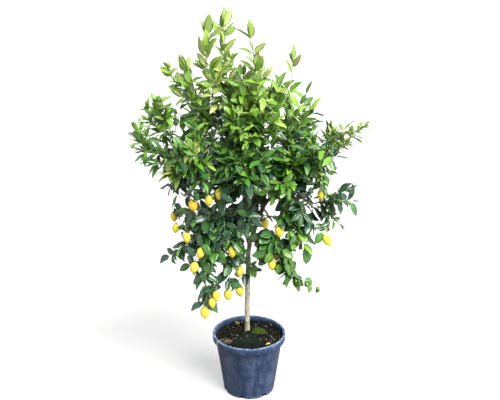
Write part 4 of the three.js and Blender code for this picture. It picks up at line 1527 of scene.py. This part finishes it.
def before_trunk(leaves):
    """True for the lower leaves that would hang straight before the trunk and its fork."""
    middle = point_on(leaves, LEAF_MIDDLE)
    hanging = (middle[:, 2] < FORK_TOP) & (middle[:, 1] < 0.03) & (leaves["shade"] < 0.85)
    hides = np.zeros(len(middle), dtype=bool)
    for index in np.flatnonzero(hanging):
        behind = Vector((middle[index, 0], 0.0, middle[index, 2]))
        hides[index] = TRUNK_TREE.find_nearest(behind)[3] < TRUNK_GAP
    return hides


def along_path(path, point):
    """How far along a path the corner nearest to a point is, from 0 to 1. A point that is
    off the path counts as its end."""
    away = np.linalg.norm(path - point, axis=1)
    nearest = int(np.argmin(away))
    return nearest / (len(path) - 1.0) if away[nearest] < 0.015 else 1.0


def off_bare(path, leaves, bare):
    """The leaves that aren't on a path's bare stretch, which is two shares of its length."""
    away = np.linalg.norm(leaves["base"][:, None] - path[None], axis=-1)
    share = np.argmin(away, axis=1) / (len(path) - 1.0)
    return some_leaves(leaves, (share < bare[0]) | (share > bare[1]))


def tapered(start, end):
    """A number for each point of a stem, in even steps from its foot to its tip."""
    return np.linspace(start, end, STEM_POINTS)


def side_shoot(rng, base, axis, reach):
    """A side shoot's path: it starts along its axis and bends up in the top of the crown and
    down in its lower part."""
    bend = UP * (0.40 - 0.75 * droop_at(base[2])) + rng.normal(0.0, 0.15, 3)
    share = np.linspace(0.0, 1.0, 6)[:, None]
    return base + reach * (axis * share + 0.5 * bend * share ** 2)


OUTER_SHARE = 0.62           # share of a twig past which side shoots are short and few
INNER_LEAF = 0.092           # length of the leaves inside the crown
# Leaves on the inner shoots are older and so darker: partly their age, partly painted shade for
# the inside of the crown.
INNER_AGE_AND_PAINTED_SHADE = -0.12
PLAIN_HABIT = {
    # youth and tip also paint light and shade on some branches, as HABITS says.
    "youth": 0.0,            # added to how young the height says the leaves are
    "tip": PLAIN_TIP,        # how much younger they are at a twig's end
    "size": 1.0,             # against the frame's blades
    "width": 0.0,            # added to a leaf's width as a share of its length
    "hang": 1.0,             # how strongly the lower leaves hang
    "spacing": 1.0,          # distance between leaves on a twig, against the usual one
    "start": 0.10,           # share of a twig that is bare at its foot
    "bare": (2.0, 2.0),      # the shares of a twig between which it is bare: none
}
# The youth and tip of some branches paint light: raised on the right, where the light falls, and
# on the shaded front-left cluster, so those leaves are paler; lowered on the left and inside, so
# those are darker.
HABITS = {                   # how some branches' leaves differ from the plain ones
    "top_right_branch": {"youth": 0.06, "size": 0.92, "bare": (0.62, 0.84)},
    "top_middle_branch": {"size": 0.95, "spacing": 0.85, "bare": (0.80, 0.95)},
    "top_left_branch": {"size": 1.02, "spacing": 0.75},
    "front_left_branch": {"youth": 0.14, "tip": 0.62, "width": -0.05, "hang": 0.2},
    "trunk_sprout": {"youth": 0.25, "hang": 0.6},
    "left_edge_branch": {"youth": -0.04, "size": 1.28, "width": -0.08, "hang": 0.2,
                         "spacing": 0.6},
    "left_branch": {"youth": -0.04, "size": 1.02, "width": -0.05, "hang": 0.2,
                    "spacing": 0.6},
    "left_inner_branch": {"youth": -0.12},
    "outer_left_branch": {"size": 1.15, "hang": 1.2, "spacing": 0.8},
    "low_left_branch": {"youth": 0.10, "start": 0.35},
    "front_right_branch": {"youth": 0.20, "size": 0.95},
    "front_branch": {"youth": -0.06},
    "back_right_branch": {"youth": 0.10, "size": 0.85},
    "right_branch": {"youth": 0.40, "size": 0.9, "hang": 0.2},
    "hanging_right_branch": {"youth": 0.22, "size": 1.2, "width": 0.10, "hang": 1.4},
    "right_middle_branch": {"youth": 0.32, "width": 0.07, "hang": 0.8},
    "low_right_branch": {"youth": 0.30, "size": 0.74, "width": 0.03, "hang": 1.2},
    "right_inner_branch": {"youth": 0.14, "size": 0.78},
    "inner_left_branch": {"youth": 0.06, "size": 1.12, "width": 0.05, "hang": 0.8},
    "hanging_left_branch": {"youth": 0.08, "size": 1.1, "width": 0.05, "hang": 0.8},
}


def grow_branch(rng, name, settings, twig_radius):
    """A leafy branch of the frame as stems and leaves, as its habit asks. Each of its twigs
    carries leaves in a spiral, as large as the twig's own blades. Each of its blades becomes a
    leaf, and below the top of the crown a leafy side shoot too. Nothing grows on the bare
    stretch of a twig."""
    blades, ways = BRANCHES[name]
    habit = {**PLAIN_HABIT, **HABITS.get(name, {})}
    grow = {key: habit[key] for key in ("youth", "width", "hang")}
    scale = settings.size * habit["size"]
    size = scale * float(np.median([blade[2] for blade in blades]))
    bare = habit["bare"]
    stems, radii, ages, leaves = [], [], [], []
    for way in ways:
        limb_point, limb_normal, _, _ = TRUNK_TREE.find_nearest(Vector(way[0]))
        inside = np.array(limb_point) - 0.002 * np.array(limb_normal)
        path = smooth_path(np.concatenate([[inside], way[1:]]), STEM_POINTS)
        reach = np.linalg.norm(np.diff(path, axis=0), axis=1).sum()
        thick = twig_radius * min(1.0, 0.55 + reach)
        stems.append(path)
        radii.append(tapered(thick, 0.0015))
        ages.append(tapered(0.25, 0.9) + 0.4 * ease(path[:, 2], 1.3, 1.8))
        high = float(ease(path[-1, 2], 1.45, 1.75))
        count = int(reach / (habit["spacing"] * (0.021 + 0.006 * high)))
        own = [length for base, _, length in blades if along_path(way, base) < 1.0]
        usual = scale * float(np.median(own)) if own else size
        full = usual * 0.86 + 0.022 * high
        along = leaves_on(rng, path, count, habit["start"], full, 0.95 - 0.45 * high,
                          tip=habit["tip"], **grow)
        leaves.append(off_bare(path, along, bare))
    for base, axis, length in blades:
        place = min(along_path(way, base) for way in ways)
        if bare[0] < place < bare[1]:
            continue
        own = np.array([length * settings.size * min(1.0, habit["size"])])
        near = {**grow, "youth": habit["youth"] + (habit["tip"] - PLAIN_TIP) * place}
        direct = leaves_at(rng, base[None], axis[None], own, **near)
        leaves.append({**direct, "along": axis[None], "up": square_to(axis[None], direct["up"])})
        outer = place > OUTER_SHARE
        if (outer and base[2] < 1.15) or rng.uniform() < ease(base[2], 1.5, 1.8):
            continue
        away = unit(axis + rng.normal(0.0, 0.5, 3))
        path = side_shoot(rng, base, away, length * (0.4 if outer else 0.7))
        stems.append(smooth_path(path, STEM_POINTS))
        radii.append(tapered(0.0017, 0.0009))
        ages.append(tapered(0.75, 0.75))
        count = int(rng.integers(3, 6))
        leaves.append(leaves_on(rng, path, count, 0.15, size * 0.8, 0.95, **near))
    return stems, radii, ages, leaves


def stems_mesh(name, stems, radii, ages):
    """One mesh of many stems."""
    corners, faces = stem_surface(np.array(stems), np.array(radii), STEM_SIDES)
    mesh = make_mesh(name, corners, faces)
    ages = np.clip(np.array(ages), 0.0, 1.0)
    body = np.repeat(ages, STEM_SIDES, axis=1)
    tone = np.concatenate([body, ages[:, :1], ages[:, -1:]], 1).ravel()
    store_tone(mesh, tone)
    return mesh


def grow_inner_shoots(rng, settings):
    """Leafy shoots on the limbs inside the crown, grouped by the branch that is nearest. They
    leave a limb's surface along its normal, and turn up or down as the height asks."""
    names = list(BRANCHES)
    places = np.array([ways[0][0] for _, ways in BRANCHES.values()])
    across, height = TRUNK_CORNERS[:, 0], TRUNK_CORNERS[:, 2]
    leftward = (height > 0.93) & (across < -0.06) & (across > -0.19)
    rightward = (height > 1.05) & (across > 0.15)
    limbs = TRUNK_CORNERS[(height > 1.15) | leftward | rightward]
    grown = {name: ([], [], [], []) for name in names}
    for _ in range(settings.inner):
        point = limbs[rng.integers(len(limbs))]
        normal = TRUNK_TREE.find_nearest(Vector(point))[1]
        out = unit(point - np.array([0.0, 0.05, 1.1]) + rng.normal(0, 0.05, 3))
        axis = unit(out * 0.8 + np.array(normal) * 0.6 + rng.normal(0.0, 0.45, 3))
        path = side_shoot(rng, point, axis, rng.uniform(0.10, 0.22))
        owner = grown[names[int(np.argmin(np.linalg.norm(places - point, axis=1)))]]
        owner[0].append(smooth_path(path, STEM_POINTS))
        owner[1].append(tapered(0.0022, 0.0010))
        owner[2].append(tapered(0.2, 0.7))
        count = int(rng.integers(6, 10))
        full = INNER_LEAF * settings.size
        owner[3].append(leaves_on(rng, path, count, 0.15, full, 1.0, INNER_AGE_AND_PAINTED_SHADE))
    return grown


def build_branches(wood, settings):
    """All leafy branches: a piece of twigs and a piece of leaves for each one."""
    rng = np.random.default_rng(SEEDS["branches"])
    bark = twig_material(wood)
    foliage = leaf_material(settings)
    inner = grow_inner_shoots(rng, settings)
    total = 0
    for name in BRANCH_NODES:
        stems, radii, ages, leaves = grow_branch(rng, name, settings, wood.twig)
        more = inner[name]
        leaves = join_leaves(leaves + more[3])
        keep = clear_of_fruit(leaves) & within_frame(leaves)
        if name != "trunk_sprout":
            keep &= ~before_trunk(leaves)
        leaves = some_leaves(leaves, keep)
        mesh = stems_mesh(name + "_twigs", stems + more[0], radii + more[1], ages + more[2])
        add_piece(name + "_twigs", mesh, bark, name)
        mesh = leaf_mesh(name + "_leaves", leaves)
        add_piece(name + "_leaves", mesh, foliage, name)
        total += len(leaves["length"])
    print("leaves on the branches:", total)


# ------------------------------------------------------------------ fruit


def lemon_surface(rng, top, bottom, radius, lumps):
    """A lemon between its stalk end and the tip of its nipple. Its radius is a rounded
    ellipse's over most of its length, joined smoothly to a narrow nipple and a low neck, and
    low lumps of noise move it in and out."""
    rings, around = 26, 28
    share = (1.0 - np.cos(np.pi * np.linspace(0.0, 1.0, rings))) / 2.0
    body = np.clip((share - 0.015) / 0.915, 0.0, 1.0)
    round_part = (body ** 0.62 * (1.0 - body) ** 0.74) / 0.395
    nipple = 0.26 * np.clip((1.0 - share) / 0.20, 0.0, 1.0) ** 0.7 * (share > 0.5)
    neck = 0.22 * np.clip(share / 0.10, 0.0, 1.0) ** 0.6 * (share < 0.5)
    profile = (round_part ** 4 + nipple ** 4 + neck ** 4) ** 0.25
    profile[0] = profile[-1] = 0.0
    length = np.linalg.norm(top - bottom)
    slim = 0.96 * radius * profile / profile.max()
    corners, faces = turned_surface(slim, length * share, around)
    uneven = 1.0 + (lumps / radius) * soft_noise(corners + rng.uniform(0, 1, 3), 0.017, 41)
    angle = np.arctan2(corners[:, 1], corners[:, 0])
    squash = 1.0 + 0.03 * np.cos(2.0 * angle + rng.uniform(0, 6))
    corners[:, :2] *= (uneven * squash)[:, None]
    return turned_to(corners, top, unit(bottom - top)), faces, corners[:, 2] / length


def calyx_surface(top, axis, radius):
    """The small green star at the stalk end: a low button whose edge has five lobes."""
    share = np.linspace(0.0, 1.0, 7)
    out = np.concatenate([[0.0], [0.7], 1.0 - 0.9 * share[1:]])
    out[-1] = 0.0
    height = np.concatenate([[-0.0004], [-0.0006], 0.0030 * share[1:] ** 0.7])

    def lobes(grid):
        """Pushes the edge out and in by a cosine wave of five turns."""
        angle = np.arctan2(grid[..., 1], grid[..., 0])
        reach = 1.0 + 0.28 * np.cos(5.0 * angle) * np.hypot(grid[..., 0], grid[..., 1])
        return grid * np.stack([reach, reach, np.ones_like(reach)], -1)

    corners, faces = turned_surface(out, height / radius, 20, lobes)
    return turned_to(radius * corners, top, axis), faces


def wood_points():
    """Places where a fruit's stalk can start: along every twig of the frame's branches, and
    on the limbs in the crown."""
    ways = [smooth_path(way, 30)[4:-2] for _, paths in BRANCHES.values() for way in paths]
    limbs = TRUNK_CORNERS[TRUNK_CORNERS[:, 2] > 0.9]
    return np.concatenate(ways + [limbs])


CALYX_RADIUS = 0.0052
DEEP_LEMON = "lemon_03"      # the one that is much riper than the others
LEAVES_ON_STALK = 5
STALK_LEAF = 0.078           # length of the leaves on a lemon's stalk


def build_fruit(settings):
    """Every lemon with its calyx and its stalk, which bends down from the nearest wood above,
    and a few leaves on the stalk. The branches come first, because their materials are used
    again."""
    rng = np.random.default_rng(SEEDS["fruit"])
    peel = peel_material(settings)
    bark = bpy.data.materials["Twig bark"]
    foliage = bpy.data.materials["Lemon leaf"]
    starts = wood_points()
    for name, (end, top, bottom, radius) in LEMONS.items():
        placed, faces, along = lemon_surface(rng, top, bottom, radius, settings.lumps)
        mesh = make_mesh(name + "_fruit", placed, faces)
        green = rng.uniform(0.0, 0.35) * ease(along, 0.80, 1.0)
        green = green + 0.4 * (1.0 - ease(along, 0.0, 0.12))
        deep = np.full(len(along), 0.7 if name == DEEP_LEMON else rng.uniform(0.0, 0.25))
        store_tone(mesh, np.stack([green, deep, green], -1))
        add_piece(name + "_fruit", mesh, peel, name)
        axis = unit(top - bottom)
        below = np.maximum(0.0, end[2] + 0.012 - starts[:, 2])
        away = np.linalg.norm(starts - end, axis=1)
        start = starts[int(np.argmin(away + 2.0 * below))]
        rise = start - 0.02 * UP + 0.35 * (end - start)
        points = np.array([start, rise, end + axis * 0.004, top - axis * 0.001])
        path = smooth_path(points, STEM_POINTS)
        spread = tapered(1.05, 1.0)
        spread[-4:] = [1.05, 1.15, 1.3, 1.5]
        corners, faces = stem_surface(path[None], settings.stalk * spread[None], 8)
        cap, cap_faces = calyx_surface(top - axis * 0.0004, axis, CALYX_RADIUS)
        faces = faces + [part + len(corners) for part in cap_faces]
        mesh = make_mesh(name + "_stalk", np.concatenate([corners, cap]), faces)
        store_tone(mesh, np.full(len(corners) + len(cap), 0.7))
        add_piece(name + "_stalk", mesh, bark, name)
        leaves = leaves_on(rng, path[:-4], LEAVES_ON_STALK, 0.1, STALK_LEAF, 1.05)
        leaves = some_leaves(leaves, clear_of_fruit(leaves) & within_frame(leaves))
        if len(leaves["length"]):
            mesh = leaf_mesh(name + "_leaves", leaves)
            add_piece(name + "_leaves", mesh, foliage, name)


# ------------------------------------------------------------------ stage


FLOOR_REACH = 60.0
FLOOR_SHARES = (0.42, 0.40)  # how much of its colour the floor reflects, in two soft patches
FLOOR_GLOW = 0.58            # light that only the camera sees on the floor
SKY_COLOUR = (0.90, 0.96, 1.0, 1.0)
SKY_SEEN = 1.2               # strength of the sky behind the tree
SKY_GLOSS = 0.6              # more of it in reflections
KEY_FROM = (1.9, -2.1, 3.0)
KEY_SPREAD = np.radians(44.0)
KEY_COLOUR = (1.0, 0.98, 0.93)
CAMERA_PLACE = (0.0052, -3.840, 2.395)
CAMERA_TILT = np.radians(71.43)      # 90 degrees would look level


def build_stage(settings):
    """A pale floor, light from all sides, one soft light from the upper right, and the
    camera."""
    scene = bpy.context.scene
    scene.view_settings.view_transform = "Standard"
    square = np.array([[-1, -1, 0], [1, -1, 0], [1, 1, 0], [-1, 1, 0]])
    mesh = make_mesh("floor", FLOOR_REACH * square, [np.array([[0, 1, 2, 3]])])
    material, nodes, shader = new_material("Floor")
    soft = nodes.mottle(nodes.place(), 0.6, 0.0)
    pale = tuple(settings.floor)
    seen = nodes.add("ShaderNodeLightPath").outputs["Is Camera Ray"]
    matt, worn = (toned(pale, share) for share in FLOOR_SHARES)
    nodes.put(shader.inputs["Base Color"], nodes.mix(soft, matt, worn))
    shader.inputs["Emission Color"].default_value = pale
    nodes.put(shader.inputs["Emission Strength"], nodes.math("MULTIPLY", seen, FLOOR_GLOW))
    shader.inputs["Roughness"].default_value = 0.9
    mesh.materials.append(material)
    floor = new_object("floor", mesh)
    floor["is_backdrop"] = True
    world = bpy.data.worlds.new("Soft light")
    world.use_nodes = True
    sky = Nodes(world.node_tree)
    background = world.node_tree.nodes["Background"]
    rays = sky.add("ShaderNodeLightPath").outputs
    background.inputs["Color"].default_value = SKY_COLOUR
    seen = sky.span(rays["Is Camera Ray"], 0.0, 1.0, settings.sky, SKY_SEEN)
    gloss = sky.math("MULTIPLY", rays["Is Glossy Ray"], SKY_GLOSS)
    sky.put(background.inputs["Strength"], sky.math("ADD", seen, gloss))
    scene.world = world
    light = bpy.data.lights.new("key", "SUN")
    light.energy = settings.key
    light.angle = KEY_SPREAD
    light.color = KEY_COLOUR
    key = new_object("key", light)
    key.rotation_euler = Vector(KEY_FROM).to_track_quat("Z", "Y").to_euler()
    view = bpy.data.cameras.new("camera")
    view.lens = settings.lens
    view.sensor_width = 36.0
    camera = new_object("camera", view)
    camera.location = CAMERA_PLACE
    camera.rotation_euler = (CAMERA_TILT, 0.0, 0.0)
    scene.camera = camera


# ------------------------------------------------------------------ operators and panel


class LEMONTREE_OT_pot(bpy.types.Operator):
    """Build the pot"""

    bl_idname = "lemontree.pot"
    bl_label = "Build pot"
    group = "lemon_pot"

    def execute(self, context):
        build_pot(context.scene.lemon_pot)
        return {"FINISHED"}


class LEMONTREE_OT_soil(bpy.types.Operator):
    """Build the soil and its crumbs"""

    bl_idname = "lemontree.soil"
    bl_label = "Build soil"
    group = "lemon_soil"

    def execute(self, context):
        build_soil(context.scene.lemon_soil)
        return {"FINISHED"}


class LEMONTREE_OT_moss(bpy.types.Operator):
    """Build the two moss cushions"""

    bl_idname = "lemontree.moss"
    bl_label = "Build moss"
    group = "lemon_soil"

    def execute(self, context):
        build_moss(context.scene.lemon_soil)
        return {"FINISHED"}


class LEMONTREE_OT_litter(bpy.types.Operator):
    """Build the fallen leaves and the straw"""

    bl_idname = "lemontree.litter"
    bl_label = "Build litter"
    group = "lemon_soil"

    def execute(self, context):
        build_litter(context.scene.lemon_soil)
        return {"FINISHED"}


class LEMONTREE_OT_trunk(bpy.types.Operator):
    """Build the trunk and limbs"""

    bl_idname = "lemontree.trunk"
    bl_label = "Build trunk"
    group = "lemon_wood"

    def execute(self, context):
        build_trunk(context.scene.lemon_wood)
        return {"FINISHED"}


class LEMONTREE_OT_branches(bpy.types.Operator):
    """Build the leafy branches"""

    bl_idname = "lemontree.branches"
    bl_label = "Build branches"
    group = "lemon_leaf"

    def execute(self, context):
        build_branches(context.scene.lemon_wood, context.scene.lemon_leaf)
        return {"FINISHED"}


class LEMONTREE_OT_fruit(bpy.types.Operator):
    """Build the lemons and their stalks"""

    bl_idname = "lemontree.fruit"
    bl_label = "Build lemons"
    group = "lemon_fruit"

    def execute(self, context):
        build_fruit(context.scene.lemon_fruit)
        return {"FINISHED"}


class LEMONTREE_OT_stage(bpy.types.Operator):
    """Build the floor, the lights and the camera"""

    bl_idname = "lemontree.stage"
    bl_label = "Build stage"
    group = "lemon_stage"

    def execute(self, context):
        build_stage(context.scene.lemon_stage)
        return {"FINISHED"}


class LEMONTREE_PT_panel(bpy.types.Panel):
    """The tree's builders and settings"""

    bl_idname = "LEMONTREE_PT_panel"
    bl_label = "Lemon tree"
    bl_space_type = "VIEW_3D"
    bl_region_type = "UI"
    bl_category = "Lemon tree"

    def draw(self, context):
        for group in SETTINGS:
            box = self.layout.box()
            for operator in OPERATORS:
                if operator.group == group:
                    box.operator(operator.bl_idname)
            settings = getattr(context.scene, group)
            for name in settings.__annotations__:
                box.prop(settings, name)


OPERATORS = (
    LEMONTREE_OT_pot,
    LEMONTREE_OT_soil,
    LEMONTREE_OT_moss,
    LEMONTREE_OT_litter,
    LEMONTREE_OT_trunk,
    LEMONTREE_OT_branches,
    LEMONTREE_OT_fruit,
    LEMONTREE_OT_stage,
)


def register():
    """Makes the settings, operators and panel known."""
    for group, settings in SETTINGS.items():
        bpy.utils.register_class(settings)
        setattr(bpy.types.Scene, group, bpy.props.PointerProperty(type=settings))
    for operator in OPERATORS:
        bpy.utils.register_class(operator)
    bpy.utils.register_class(LEMONTREE_PT_panel)


def unregister():
    """Takes them away again."""
    bpy.utils.unregister_class(LEMONTREE_PT_panel)
    for operator in reversed(OPERATORS):
        bpy.utils.unregister_class(operator)
    for group, settings in SETTINGS.items():
        delattr(bpy.types.Scene, group)
        bpy.utils.unregister_class(settings)


def main():
    """Builds every piece in order."""
    register()
    bpy.ops.lemontree.pot()
    bpy.ops.lemontree.soil()
    bpy.ops.lemontree.moss()
    bpy.ops.lemontree.litter()
    bpy.ops.lemontree.trunk()
    bpy.ops.lemontree.branches()
    bpy.ops.lemontree.fruit()
    bpy.ops.lemontree.stage()
    bpy.context.view_layer.update()
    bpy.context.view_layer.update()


if __name__ == "__main__":
    main()
